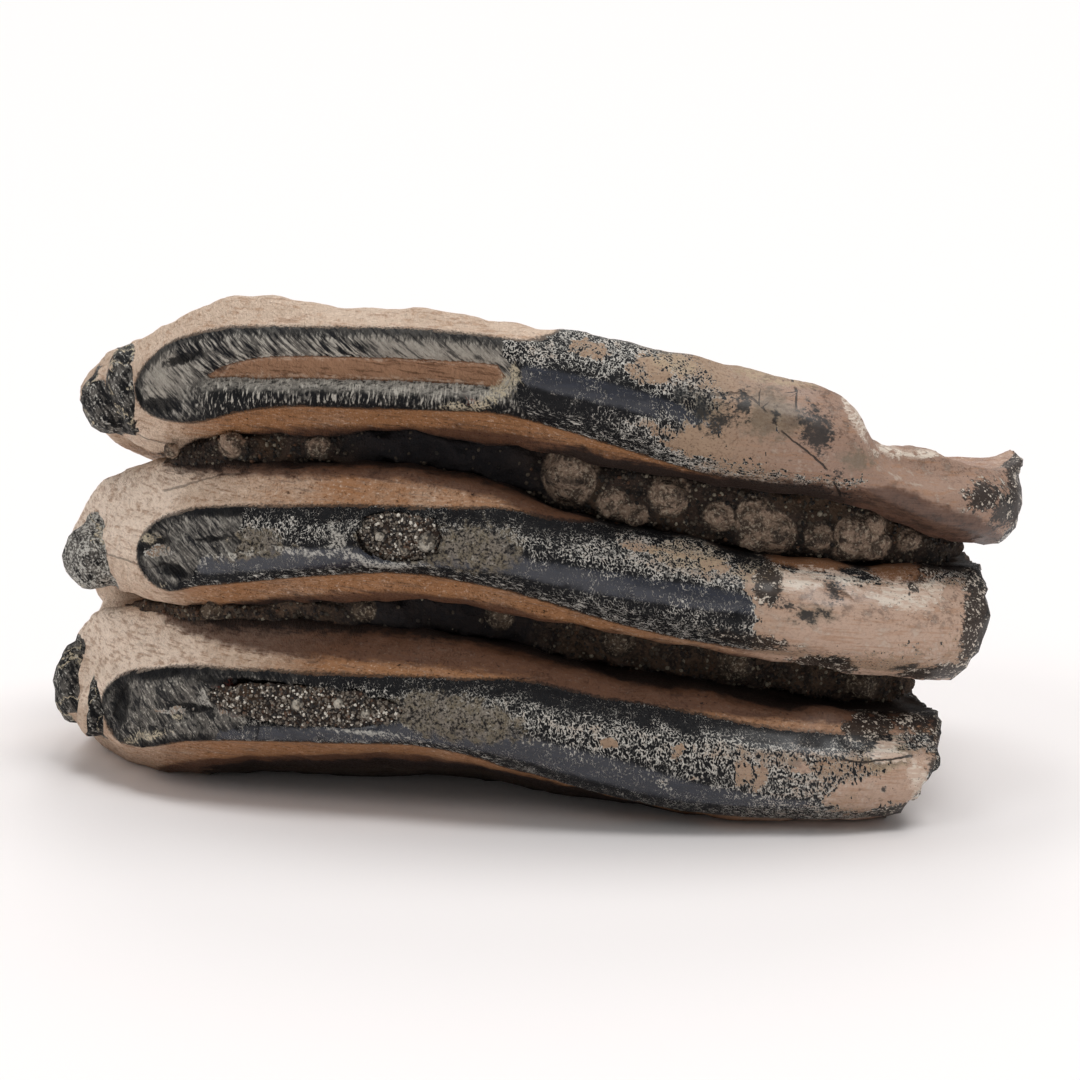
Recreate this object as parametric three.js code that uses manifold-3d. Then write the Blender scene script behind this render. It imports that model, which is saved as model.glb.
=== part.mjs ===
// A fragment of a fossil mammoth molar: three enamel plates grown as one tooth, lying with their
// chewing ends to the front, and the sediment that is packed in its grooves and pits.
// Millimetres. +X runs along the plates, +Y from the chewing ends to the roots, +Z up.
import * as THREE from 'three';
import * as BufferGeometryUtils from 'three/addons/utils/BufferGeometryUtils.js';
import Module from 'manifold-3d';

const wasm = await Module();
wasm.setup();

// Driving dimensions
const rightReach = 56;        // how far the plates run before the break cuts them
const backReach = 36;         // how deep the plates run before the break cuts them
const centring = 1.25;        // moves the tooth along X, so that its origin is under its middle
const clearance = 0.34;       // gap between the tooth and what is packed in it
const grooveDepth = 13;       // from a plate's crest to where it meets its neighbour
const coreOverlap = 1.6;      // how far neighbouring plates grow into each other
const notches = [-40, -48.5]; // where the plates come apart at the left, upper and lower groove
const topSlope = 0.27;        // fall of the upper face towards the roots
const backPitch = 13.4;       // spacing of the plates at the roots
const backLevel = 8.2;        // height of the bottom plate's middle at the roots
const alongSteps = 30;
const capSteps = 2;

// Places along a plate are pairs of [x, value], read as a smooth line
const crestDepth = [
  [-53, 6], [-51, 2.5], [-49.5, -0.5], [-47.3, -4], [-44.9, -8], [-38.4, -13.5], [-30, -17.5],
  [-15, -21.5], [0, -24], [15, -25.2], [28, -25], [38.6, -22.5], [46, -18], [52, -11],
];
const sideDepth = [[-53, 9], [-51, 14.5], [-48, 20], [-42, 27], [-35, 33], [-28, backReach]];
const rightEdge = [
  [0, 35.6], [7, 39.8], [13, 42], [18, 44], [24.5, 46.4], [27.3, 47.4], [32.5, 50.7], [35, 52.1], [44, 52.2],
];

const topPlate = {
  tip: -49.4, tipRadius: 4, setBack: 1.2, wornTo: -2, wearBlend: 1.2, trough: 1.2, troughFrom: -37,
  top: [[-49, 42.8], [-44.8, 45.4], [-41.4, 47.4], [-36.8, 50.4], [-30.4, 52.4], [-14, 51.8], [2, 50.2],
    [16, 47.4], [30.4, 43.4], [32.4, 39.8], [34.4, 38.3], [37, 37.6], [41, 37.4], [47, 36.2], [49.6, 36],
    [51, 34], [54, 31]],
  edgeUp: [[-49, 41.6], [-44.8, 44], [-41, 45.8], [-36, 48.6], [-30, 50], [-14, 50.4], [2, 49],
    [16, 46], [30.6, 42], [33.8, 37.3], [38, 35.2], [47, 34.2], [54, 30]],
  edgeLow: [[-49, 39.6], [-41, 40], [-36.4, 39.9], [-30, 41.6], [-24, 42.4], [-6, 42.5], [2, 40.9],
    [8, 39.2], [16, 37], [31, 34.3], [41, 29.9], [47, 28.4], [54, 28]],
  low: [[-49, 39.4], [-45.4, 37.6], [-42.4, 36.5], [-40, 35.9], [-34.7, 37.4], [-24.2, 38.7], [-14, 39.1],
    [-4, 38.5], [8, 36], [16, 35.1], [31, 32.7], [36.2, 30], [41.6, 28.3], [47, 27], [54, 26]],
};
const middlePlate = {
  tip: -51.2, tipRadius: 4, setBack: 0, wornTo: -26, wearBlend: 7, trough: 0.4, troughFrom: -36,
  top: [[-51, 26.8], [-46.2, 31], [-42.7, 33.2], [-39.3, 34.4], [-30.6, 35.6], [-14, 36], [-6, 35],
    [2, 32], [11, 30.2], [24, 27.6], [36, 26], [46, 24.6], [54, 23]],
  edgeUp: [[-51, 25.4], [-43, 28.6], [-39, 29.9], [-34.5, 31.3], [-28, 32], [-14, 32.6], [-5, 32.4],
    [2, 30.6], [11, 28.6], [24, 25.9], [36, 24.3], [46, 23], [54, 21]],
  edgeLow: [[-51, 23.4], [-42.5, 22.4], [-39, 22.3], [-34.7, 23.3], [-24.2, 25], [-14, 25.9],
    [-4, 24.7], [2, 23.1], [11, 21.1], [20.4, 19.4], [26, 18.5], [36, 16.6], [46, 15.2], [54, 15]],
  low: [[-51, 22.2], [-45.3, 20], [-39.4, 19.9], [-35, 20.1], [-24.5, 21.4], [-14.2, 22.2],
    [-4, 21.6], [6, 19.9], [16, 18.2], [26, 16.7], [36.5, 14.6], [46, 13.2], [54, 13]],
};
const bottomPlate = {
  tip: -52.8, tipRadius: 4, setBack: -1, wornTo: -11, wearBlend: 7, trough: 0.8, troughFrom: -40,
  top: [[-53, 12], [-49, 15.4], [-46.7, 17.2], [-41, 18.4], [-35.5, 18.9], [-24.8, 19.4],
    [-14.4, 19], [-4.1, 18], [6.1, 15.5], [16.2, 14], [26.5, 12.3], [36.8, 10.8], [54, 9]],
  edgeUp: [[-53, 9.8], [-46.4, 11.6], [-40.5, 13.6], [-35, 14.8], [-14, 15.4], [-4, 14.8],
    [6, 12.8], [16, 11.6], [26, 10.2], [37, 8.8], [54, 7]],
  edgeLow: [[-53, 5.6], [-44.2, 4.9], [-35, 7.2], [-24.5, 8], [-14.2, 8.5], [-4, 7.2], [6, 4.6],
    [16, 2.7], [26, 1.9], [37, 1.9], [54, 2]],
  low: [[-53, 4.6], [-47, 3.2], [-43.4, 2.9], [-35.4, 3.6], [-30, 4.9], [-19.5, 5.9], [-9.2, 6.3],
    [1, 4.7], [11, 2.5], [18, 0.9], [26, 0.3], [35, 0.2], [54, 0.4]],
};
const plates = [topPlate, middlePlate, bottomPlate];

// Points per stretch of a section, from the crest over the shoulder and the core to the back
const stretchSteps = [2, 2, 1, 3, 3, 2, 1, 1, 1];

// Small knobs where the plates fork at their left ends: centre, radii and turn in degrees
const knobs = [
  { at: [-44.9, -1, 40.5], radii: [3, 4.6, 3.4], turn: 12 },
  { at: [-42.8, -5, 42.2], radii: [1.6, 3.8, 4.4], turn: -14 },
  { at: [-47, -1.4, 23.9], radii: [3.3, 5, 3.9], turn: 14 },
  { at: [-49.8, 3, 8.8], radii: [2.9, 4.6, 4.6], turn: 6 },
  { at: [-47.6, -1.6, 7.2], radii: [1.9, 3.6, 3.4], turn: 10 },
];

// Pits that hold sand, on the front of the middle and the bottom plate: centre and radii
const middlePit = { at: [-14, -20.2, 29.7], radii: [5.4, 2.2, 2.5] };
const bottomPit = { at: [-24, -18.9, 12], radii: [10.2, 2, 2.1] };
const sandBulge = 0.2;
const rimHollow = { at: [44, -7.5, 37.8], radii: [11, 8.6, 3.4] };

// Sediment in the grooves: how far behind the crests its face lies, and the stones in it as x, z, radius
const upperPacking = {
  from: -40, to: 47.3, behind: [[-39, 3.5], [-20, 4.5], [0, 7], [20, 7.5], [38, 8], [44, 5.5], [48, 4]],
  stones: [
    [-38, 36.6, 1], [-31.6, 37.6, 1.3], [-22.6, 37.6, 0.9], [3.4, 35.2, 2.7], [7.4, 32.6, 1.1],
    [13, 33.6, 1.7], [19.7, 31, 2.3], [22.7, 29.8, 2], [25.6, 29.9, 1.6], [31.3, 29.1, 2], [27.8, 31.4, 1.2],
  ],
};
const lowerPacking = {
  from: -45, to: 43, behind: [[-45, 3], [-20, 4], [0, 8], [20, 9.5], [36, 8.5], [43, 4]],
  stones: [[-34, 20.2, 0.9], [-18, 21, 1], [-4, 20.4, 1.1], [8, 18, 1.4], [20, 15.6, 1.6], [33, 13, 1.3]],
};

// A smooth value at x through [x, value] pairs, which never overshoots them
function along(pairs, x) {
  const last = pairs.length - 1;
  if (x <= pairs[0][0]) return pairs[0][1];
  if (x >= pairs[last][0]) return pairs[last][1];
  const rise = (i) => (pairs[i + 1][1] - pairs[i][1]) / (pairs[i + 1][0] - pairs[i][0]);
  const slope = (i) => {
    if (i === 0 || i === last) return 0;
    const [before, after] = [rise(i - 1), rise(i)];
    return before * after <= 0 ? 0 : (2 * before * after) / (before + after);
  };
  const i = pairs.findIndex((pair) => x < pair[0]) - 1;
  const [[x0, v0], [x1, v1]] = [pairs[i], pairs[i + 1]];
  const span = x1 - x0;
  const t = (x - x0) / span;
  const t2 = t * t;
  const t3 = t2 * t;
  return v0 * (2 * t3 - 3 * t2 + 1) + v1 * (3 * t2 - 2 * t3)
    + span * (slope(i) * (t3 - 2 * t2 + t) + slope(i + 1) * (t3 - t2));
}

const smoothstep = THREE.MathUtils.smoothstep;
const lerp = THREE.MathUtils.lerp;

// Gentle bumps that the cement has everywhere
function bumps(x, y, z) {
  return 0.34 * Math.sin(0.37 * x + 0.8 * Math.sin(0.19 * z + 1)) * Math.cos(0.31 * y + 0.13 * x)
    + 0.2 * Math.sin(0.83 * x + 0.47 * z) * Math.sin(0.71 * y - 0.29 * x + 2);
}

// Coarse, angular bumps of broken faces
function brokenBumps(u, v) {
  const coarse = Math.sin(0.43 * u + 1.7 * Math.sin(0.21 * v));
  const fine = Math.sin(0.92 * v + 1.1 * Math.sin(0.5 * u));
  return 0.9 * coarse + 0.6 * fine;
}

// Height of the seam between plate i and the one below it, at the crest and at the roots
function seam(i, x, y) {
  const front = (along(plates[i].low, x) + along(plates[i + 1].top, x)) / 2;
  const back = backLevel + backPitch * (1.5 - i) + 0.6 * (front - 28 + 17 * (i - 0.5)) - 0.6;
  return lerp(front, back, smoothstep(y, -14, 34));
}

// How far plates reach past seam i: into each other, but apart at their free left ends
function reachPast(i, x) {
  const halfGap = (along(plates[i].low, x) - along(plates[i + 1].top, x)) / 2;
  return lerp(-halfGap, coreOverlap, smoothstep(x, notches[i] - 1.5, notches[i] + 2.5));
}

// The upper and lower skin of plate i behind its shoulders
function upperSkin(i, x, y, crest) {
  if (i > 0) return seam(i - 1, x, y) + reachPast(i - 1, x);
  return along(plates[0].top, x) - topSlope * Math.max(0, y - crest - 7);
}
function lowerSkin(i, x, y, crest) {
  if (i < 2) return seam(i, x, y) - reachPast(i, x);
  return along(plates[2].low, x) - 0.42 * Math.max(0, y - crest - 4.5);
}

// Control points of one side of a section, from next to the crest to the core at the back
function sectionSide(i, x, up) {
  const plate = plates[i];
  const crest = along(crestDepth, x) + plate.setBack;
  const back = along(sideDepth, x);
  const edge = along(up ? plate.edgeUp : plate.edgeLow, x);
  const shoulder = along(up ? plate.top : plate.low, x);
  const middle = (along(plate.edgeUp, x) + along(plate.edgeLow, x)) / 2;
  const worn = 1 - smoothstep(x, plate.wornTo - plate.wearBlend, plate.wornTo + plate.wearBlend);
  const out = up ? 1 : -1;
  const outer = (i === 0 && up) || (i === 2 && !up);
  const skin = up ? upperSkin : lowerSkin;
  const reach = Math.min(1, (back - crest) / 40);
  const floor = crest + grooveDepth * reach;
  const facet = lerp(0.35, 1.3, worn);
  const points = [
    [crest + facet, lerp(middle, edge, 0.55)],
    [crest + lerp(2.2, 1.75, worn), edge],
    [crest + lerp(3.5, 3, worn), edge + out * lerp(0.9, 0.5, worn)],
    [crest + lerp(5.4, 6.4, worn) * Math.sqrt(reach), shoulder],
    [floor, outer ? skin(i, x, floor, crest) : shoulder - out * 0.35],
  ];
  [0.42, 0.66, 0.9].forEach((share) => {
    const y = lerp(crest, back, share);
    points.push([y, skin(i, x, y, crest)]);
  });
  return points.map(([y, z], n) => new THREE.Vector3(x, y, z + (n > 2 ? bumps(x, y, z) : 0)));
}

// The closed section of plate i at x
function section(i, x) {
  const plate = plates[i];
  const upper = sectionSide(i, x, true);
  const lower = sectionSide(i, x, false);
  const worn = 1 - smoothstep(x, plate.wornTo - plate.wearBlend, plate.wornTo + plate.wearBlend);
  const trough = plate.trough * worn * smoothstep(x, plate.troughFrom - 2, plate.troughFrom + 3);
  const middle = (upper[0].z + lower[0].z) / 2;
  const crest = along(crestDepth, x) + plate.setBack + lerp(0, 1, worn) + trough;
  const back = new THREE.Vector3(x, along(sideDepth, x), (upper[7].z + lower[7].z) / 2);
  const loop = [new THREE.Vector3(x, crest, middle), ...upper, back, ...lower.reverse()];
  return new THREE.CatmullRomCurve3(loop, true, 'catmullrom', 0.5);
}

// Section parameters of the points around a section
const aroundPlaces = [...stretchSteps, ...[...stretchSteps].reverse()].flatMap((steps, stretch) => (
  Array.from({ length: steps }, (_, n) => (stretch + n / steps) / (2 * stretchSteps.length))));

// Where ring number n of a plate stands, and how much of its section it keeps
function ring(plate, n) {
  const rows = alongSteps - capSteps;
  if (n > rows) return { x: rightReach, keep: 1 - (n - rows) / capSteps };
  const share = n / rows;
  const x = lerp(plate.tip, rightReach, 0.62 * share + 0.19 * (1 - Math.cos(Math.PI * share)));
  const inset = Math.min(1, (x - plate.tip) / plate.tipRadius);
  return { x, keep: Math.sqrt(1 - (1 - inset) ** 2) };
}

function plateGeometry(i) {
  const around = aroundPlaces.length;
  const geometry = new THREE.SphereGeometry(1, around, alongSteps);
  const position = geometry.attributes.position;
  for (let n = 0; n <= alongSteps; n += 1) {
    const { x, keep } = ring(plates[i], n);
    const curve = section(i, x);
    const loop = aroundPlaces.map((place) => curve.getPoint(place));
    const heart = loop.reduce((sum, p) => sum.add(p), new THREE.Vector3()).divideScalar(around);
    for (let k = 0; k <= around; k += 1) {
      const point = loop[k % around].clone().sub(heart).multiplyScalar(keep).add(heart);
      position.setXYZ(n * (around + 1) + k, point.x, point.y, Math.max(0, point.z));
    }
  }
  return geometry;
}

function merged(geometry) {
  geometry.deleteAttribute('normal');
  geometry.deleteAttribute('uv');
  return BufferGeometryUtils.mergeVertices(geometry, 1e-4);
}

function solid(geometry) {
  const shape = merged(geometry);
  const made = new wasm.Manifold(new wasm.Mesh({
    numProp: 3,
    vertProperties: new Float32Array(shape.attributes.position.array),
    triVerts: new Uint32Array(shape.index.array),
  }));
  if (made.volume() > 0) return made;
  throw new Error('a solid is inside out');
}

function geometryOf(made) {
  const mesh = made.getMesh();
  const geometry = new THREE.BufferGeometry();
  geometry.setAttribute('position', new THREE.BufferAttribute(mesh.vertProperties, 3));
  geometry.setIndex(new THREE.BufferAttribute(mesh.triVerts, 1));
  return geometry;
}

const joined = (solids) => solids.reduce((sum, next) => sum.add(next));

// A knobbly ball, squashed to its radii and turned about the depth axis
function ball(at, radii, turn = 0, detail = 1) {
  const geometry = new THREE.IcosahedronGeometry(1, detail);
  geometry.scale(...radii);
  geometry.rotateY(THREE.MathUtils.degToRad(turn));
  geometry.translate(...at);
  return solid(geometry);
}

// How far a break is hollowed where it crosses the soft cement of a seam
function seamHollow(x, y, z) {
  return [0, 1].reduce((sum, i) => sum + Math.exp(-(((z - seam(i, x, y)) / 1.9) ** 2)), 0);
}

// A block whose near face along one axis is a break, to cut the tooth with
function breakBlock(size, parts, axis, far, face) {
  const block = new THREE.BoxGeometry(...size, ...parts);
  const position = block.attributes.position;
  for (let n = 0; n < position.count; n += 1) {
    const point = new THREE.Vector3().fromBufferAttribute(position, n);
    point.z += 24;
    const near = point[axis] < 0;
    point[axis] = near ? face(point) : far;
    position.setXYZ(n, point.x, point.y, point.z);
  }
  return solid(block);
}

// The break across the right end leans outwards to the top and inwards to the roots
function rightBreak() {
  return breakBlock([30, 76, 76], [1, 16, 22], 'x', 80, ({ y, z }) => (
    along(rightEdge, z) - 0.13 * (y + 18) + 0.4 * brokenBumps(y, z)
    - 0.6 * smoothstep(y, -12, 0) * seamHollow(44, y, z)));
}

// A pit's lens, bent along the crest, with its front half pressed flat to a share of its depth
function pitSolid({ at, radii }, frontShare) {
  const geometry = new THREE.IcosahedronGeometry(1, 1);
  geometry.scale(...radii);
  const position = geometry.attributes.position;
  for (let n = 0; n < position.count; n += 1) {
    const y = position.getY(n) * (position.getY(n) < 0 ? frontShare : 1);
    const bend = along(crestDepth, at[0] + position.getX(n)) - along(crestDepth, at[0]);
    position.setY(n, y + bend);
  }
  geometry.translate(...at);
  return solid(geometry);
}

// The break across the roots at the back
function backBreak() {
  return breakBlock([130, 30, 76], [26, 1, 20], 'y', 60, ({ x, z }) => (
    25.1 - 0.0022 * (x - 6) ** 2 - 0.05 * (z - 20) + 0.5 * brokenBumps(x, z)
    - 1.5 * seamHollow(x, 25, z)));
}

function toothSolid() {
  const body = joined(plates.map((_, i) => solid(plateGeometry(i))));
  const whole = knobs.reduce((sum, knob) => sum.add(ball(knob.at, knob.radii, knob.turn)), body);
  const hollows = [pitSolid(middlePit, 1), pitSolid(bottomPit, 1), ball(rimHollow.at, rimHollow.radii)];
  return [rightBreak(), backBreak(), ...hollows].reduce((left, cutter) => left.subtract(cutter), whole);
}

// The same solid with its surface moved outwards
function grown(made, by) {
  const geometry = geometryOf(made);
  geometry.computeVertexNormals();
  const { position, normal } = geometry.attributes;
  for (let n = 0; n < position.count; n += 1) {
    const point = new THREE.Vector3().fromBufferAttribute(position, n);
    point.addScaledVector(new THREE.Vector3().fromBufferAttribute(normal, n), by);
    position.setXYZ(n, point.x, point.y, point.z);
  }
  return solid(geometry);
}

// The biggest of the bodies in a solid
function biggest(made) {
  return made.decompose().reduce((best, next) => (next.volume() > best.volume() ? next : best));
}

// Sediment in the groove under plate i: a filling along the seam, with stones set in its face
function groovePacking(i, packing, around) {
  const steps = 18;
  const sides = 8;
  const geometry = new THREE.SphereGeometry(1, sides, steps);
  const position = geometry.attributes.position;
  for (let n = 0; n <= steps; n += 1) {
    const x = lerp(packing.from, packing.to, n / steps);
    const keep = Math.sqrt(Math.min(1, n / 2, steps - n));
    const front = along(crestDepth, x) + along(packing.behind, x);
    const half = (along(plates[i].low, x) - along(plates[i + 1].top, x)) / 2 + 0.9;
    for (let k = 0; k <= sides; k += 1) {
      const turn = (2 * Math.PI * (k % sides)) / sides;
      const y = front + 3 * (1 - keep * Math.cos(turn)) + 0.5 * keep * Math.sin(0.9 * x + 3 * turn);
      const z = seam(i, x, y) + keep * half * Math.sin(turn);
      position.setXYZ(n * (sides + 1) + k, x, y, z);
    }
  }
  const filling = solid(geometry);
  const stones = packing.stones.map(([x, z, radius]) => {
    const y = along(crestDepth, x) + along(packing.behind, x) + 0.35 * radius;
    return ball([x, y, z], [radius, radius, radius], 17 * x, radius > 1.5 ? 1 : 0);
  });
  return biggest(joined([filling, ...stones]).subtract(around));
}

// Sand that fills a pit almost level with the plate
function pitPacking(pit, around) {
  return biggest(pitSolid(pit, sandBulge).subtract(around));
}

const group = new THREE.Group();
function addPiece(name, made, color, roughness) {
  const material = new THREE.MeshStandardMaterial({ color, roughness, metalness: 0, flatShading: true });
  const mesh = new THREE.Mesh(geometryOf(made), material);
  mesh.name = name;
  mesh.position.x = centring;
  group.add(mesh);
}

const tooth = toothSolid();
const around = grown(tooth, clearance);
addPiece('molar', tooth, 0x8a7261, 0.55);
addPiece('upper_groove_sediment', groovePacking(0, upperPacking, around), 0x4a4038, 0.9);
addPiece('lower_groove_sediment', groovePacking(1, lowerPacking, around), 0x3a322b, 0.9);
addPiece('middle_plate_sand', pitPacking(middlePit, around), 0x8d8578, 0.85);
addPiece('bottom_plate_sand', pitPacking(bottomPit, around), 0x7d7468, 0.85);

export default group;
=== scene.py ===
import time
from math import cos, radians, sin
from types import SimpleNamespace

import bmesh
import bpy
import numpy as np
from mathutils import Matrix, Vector


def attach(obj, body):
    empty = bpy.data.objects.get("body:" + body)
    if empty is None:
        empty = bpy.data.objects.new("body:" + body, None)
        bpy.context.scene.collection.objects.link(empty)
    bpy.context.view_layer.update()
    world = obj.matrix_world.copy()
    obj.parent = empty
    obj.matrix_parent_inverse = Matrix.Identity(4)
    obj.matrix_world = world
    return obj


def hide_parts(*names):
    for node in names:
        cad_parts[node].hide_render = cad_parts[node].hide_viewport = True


started = time.time()

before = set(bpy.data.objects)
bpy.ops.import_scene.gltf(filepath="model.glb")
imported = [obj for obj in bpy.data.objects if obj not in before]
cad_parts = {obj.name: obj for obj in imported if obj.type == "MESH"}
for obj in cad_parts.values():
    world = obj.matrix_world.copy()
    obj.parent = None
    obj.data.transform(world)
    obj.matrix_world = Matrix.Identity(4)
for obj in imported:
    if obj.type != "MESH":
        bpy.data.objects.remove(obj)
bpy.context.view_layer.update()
mm = 0.001

# the form of the tooth is worked out in mm, and moved by centring at the end; its tables hold an x and
# a value in turn
centring = 1.25  # the form's own middle lies this far left of the frame's
seams = {"grooveDepth": 13, "coreOverlap": 1.6, "notches": [-40, -48.5], "frontLevel": 28,
         "frontPitch": 17, "follow": 0.6, "backPitch": 13.4, "backLevel": 8.2, "backDrop": 0.6,
         "bend": (-14, 34)}
slopes = {"top": 0.27, "topFrom": 7, "under": 0.42, "underFrom": 4.5}
section = {  # how far behind the crest its points lie, in mm, on a fresh and on a worn ridge
    "nose": (0.35, 1.3), "edge": (2.2, 1.75), "lip": (3.5, 3), "shoulder": (5.4, 6.4),
    "noseHeight": 0.55, "lipRise": (0.9, 0.5), "floorDrop": 0.35, "fullDepth": 40,
    "shares": (0.42, 0.66, 0.9)}
# the y of the ridges' crest, and the y where the sides of the plates end
crestDepth = [-53, 6, -51, 2.5, -49.5, -0.5, -47.3, -4, -44.9, -8, -38.4, -13.5, -30, -17.5, -15, -21.5, 0,
    -24, 15, -25.2, 28, -25, 38.6, -22.5, 46, -18, 52, -11]
sideDepth = [-53, 9, -51, 14.5, -48, 20, -42, 27, -35, 33, -28, 36]
# from the top plate down; the heights are those of its shoulders and of the ridge's edges
plates = [
    {"tip": -49.4, "tipRadius": 4, "setBack": 1.2, "wornTo": -2, "wearBlend": 1.2,
     "trough": 1.2, "troughFrom": -37,
     "top": [-49, 42.8, -44.8, 45.4, -41.4, 47.4, -36.8, 50.4, -30.4, 52.4, -14, 51.8, 2, 50.2, 16, 47.4,
         30.4, 43.4, 32.4, 39.8, 34.4, 38.3, 37, 37.6, 41, 37.4, 47, 36.2, 49.6, 36, 51, 34, 54, 31],
     "edgeUp": [-49, 41.6, -44.8, 44, -41, 45.8, -36, 48.6, -30, 50, -14, 50.4, 2, 49, 16, 46, 30.6, 42,
         33.8, 37.3, 38, 35.2, 47, 34.2, 54, 30],
     "edgeLow": [-49, 39.6, -41, 40, -36.4, 39.9, -30, 41.6, -24, 42.4, -6, 42.5, 2, 40.9, 8, 39.2, 16, 37,
         31, 34.3, 41, 29.9, 47, 28.4, 54, 28],
     "low": [-49, 39.4, -45.4, 37.6, -42.4, 36.5, -40, 35.9, -34.7, 37.4, -24.2, 38.7, -14, 39.1, -4, 38.5,
         8, 36, 16, 35.1, 31, 32.7, 36.2, 30, 41.6, 28.3, 47, 27, 54, 26]},
    {"tip": -51.2, "tipRadius": 4, "setBack": 0, "wornTo": -26, "wearBlend": 7,
     "trough": 0.4, "troughFrom": -36,
     "top": [-51, 26.8, -46.2, 31, -42.7, 33.2, -39.3, 34.4, -30.6, 35.6, -14, 36, -6, 35, 2, 32, 11, 30.2,
         24, 27.6, 36, 26, 46, 24.6, 54, 23],
     "edgeUp": [-51, 25.4, -43, 28.6, -39, 29.9, -34.5, 31.3, -28, 32, -14, 32.6, -5, 32.4, 2, 30.6, 11,
         28.6, 24, 25.9, 36, 24.3, 46, 23, 54, 21],
     "edgeLow": [-51, 23.4, -42.5, 22.4, -39, 22.3, -34.7, 23.3, -24.2, 25, -14, 25.9, -4, 24.7, 2, 23.1,
         11, 21.1, 20.4, 19.4, 26, 18.5, 36, 16.6, 46, 15.2, 54, 15],
     "low": [-51, 22.2, -45.3, 20, -39.4, 19.9, -35, 20.1, -24.5, 21.4, -14.2, 22.2, -4, 21.6, 6, 19.9, 16,
         18.2, 26, 16.7, 36.5, 14.6, 46, 13.2, 54, 13]},
    {"tip": -52.8, "tipRadius": 4, "setBack": -1, "wornTo": -11, "wearBlend": 7,
     "trough": 0.8, "troughFrom": -40,
     "top": [-53, 12, -49, 15.4, -46.7, 17.2, -41, 18.4, -35.5, 18.9, -24.8, 19.4, -14.4, 19, -4.1, 18, 6.1,
         15.5, 16.2, 14, 26.5, 12.3, 36.8, 10.8, 54, 9],
     "edgeUp": [-53, 9.8, -46.4, 11.6, -40.5, 13.6, -35, 14.8, -14, 15.4, -4, 14.8, 6, 12.8, 16, 11.6, 26,
         10.2, 37, 8.8, 54, 7],
     "edgeLow": [-53, 5.6, -44.2, 4.9, -35, 7.2, -24.5, 8, -14.2, 8.5, -4, 7.2, 6, 4.6, 16, 2.7, 26, 1.9,
         37, 1.9, 54, 2],
     "low": [-53, 4.6, -47, 3.2, -43.4, 2.9, -35.4, 3.6, -30, 4.9, -19.5, 5.9, -9.2, 6.3, 1, 4.7, 11, 2.5,
         18, 0.9, 26, 0.3, 35, 0.2, 54, 0.4]},
]
knobs = [  # the dark lumps at the left tips
    {"at": (-44.9, -1, 40.5), "radii": (3, 4.6, 3.4), "turn": 12},
    {"at": (-42.8, -5, 42.2), "radii": (1.6, 3.8, 4.4), "turn": -14},
    {"at": (-47, -1.4, 23.9), "radii": (3.3, 5, 3.9), "turn": 14},
    {"at": (-49.8, 3, 8.8), "radii": (2.9, 4.6, 4.6), "turn": 6},
    {"at": (-47.6, -1.6, 7.2), "radii": (1.9, 3.6, 3.4), "turn": 10},
]
rightEnd = {
    "edge": [0, 35.6, 7, 39.8, 13, 42, 18, 44, 24.5, 46.4, 27.3, 47.4, 32.5, 50.7, 35, 52.1, 44, 52.2],
    "lean": 0.13, "leanFrom": -18, "bumps": 0.4, "notch": 0.6, "rows": (-38, 40, 150)}
rootSide = {"at": 25.1, "bow": 0.0022, "bowAt": 6, "lean": 0.05, "leanFrom": 20, "bumps": 0.5, "notch": 1.5,
            "rows": (-70, 70, 240)}
brokenWalls = {"heights": (-12, 64, 150), "thick": 30, "notchHalf": 1.9}
rimHollow = {"at": (44, -7.5, 37.8), "radii": (11, 8.6, 3.4)}
pits = {"middle": {"at": (-14, -20.2, 29.7), "radii": (5.4, 2.2, 2.5),
                   "stones": [(-11.2, -21.3, 29.4, 0.8), (-16, -20.9, 29.9, 0.45),
                       (-13.6, -21.1, 28.4, 0.4)]},
        "bottom": {"at": (-24, -18.9, 12), "radii": (10.2, 2, 2.1),
                   "stones": [(-24.6, -19.4, 12.2, 0.5), (-20.4, -20.5, 12.6, 0.42),
                       (-17.6, -21, 11.6, 0.4)]}}


def along(pairs, x):  # a smooth value at x between pairs of x and value, without overshoot
    xs, values = np.array(pairs, float).reshape(-1, 2).T
    rise = np.diff(values) / np.diff(xs)
    before, after = rise[:-1], rise[1:]
    level = before * after <= 0
    slope = np.zeros(len(xs))
    slope[1:-1] = np.where(level, 0, 2 * before * after / np.where(level, 1, before + after))
    x = np.clip(x, xs[0], xs[-1])
    i = np.clip(np.searchsorted(xs, x, side="right") - 1, 0, len(xs) - 2)
    span = xs[i + 1] - xs[i]
    t = (x - xs[i]) / span
    return (values[i] * (2 * t**3 - 3 * t**2 + 1) + values[i + 1] * (3 * t**2 - 2 * t**3)
            + span * (slope[i] * (t**3 - 2 * t**2 + t) + slope[i + 1] * (t**3 - t**2)))


def ease(x, low, high):  # smooth step from 0 to 1
    t = np.clip((x - low) / (high - low), 0, 1)
    return t * t * (3 - 2 * t)


def blend(a, b, share):
    return a + (b - a) * share


def hashed(ix, iy, iz, seed):
    h = (ix.astype(np.uint32) * np.uint32(374761393) + iy.astype(np.uint32) * np.uint32(668265263)
         + iz.astype(np.uint32) * np.uint32(1442695041) + np.uint32(seed * 974634777 % 2**32))
    h = (h ^ (h >> np.uint32(13))) * np.uint32(1274126177)
    return (h ^ (h >> np.uint32(16))).astype(float) / 2147483647.5 - 1


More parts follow.
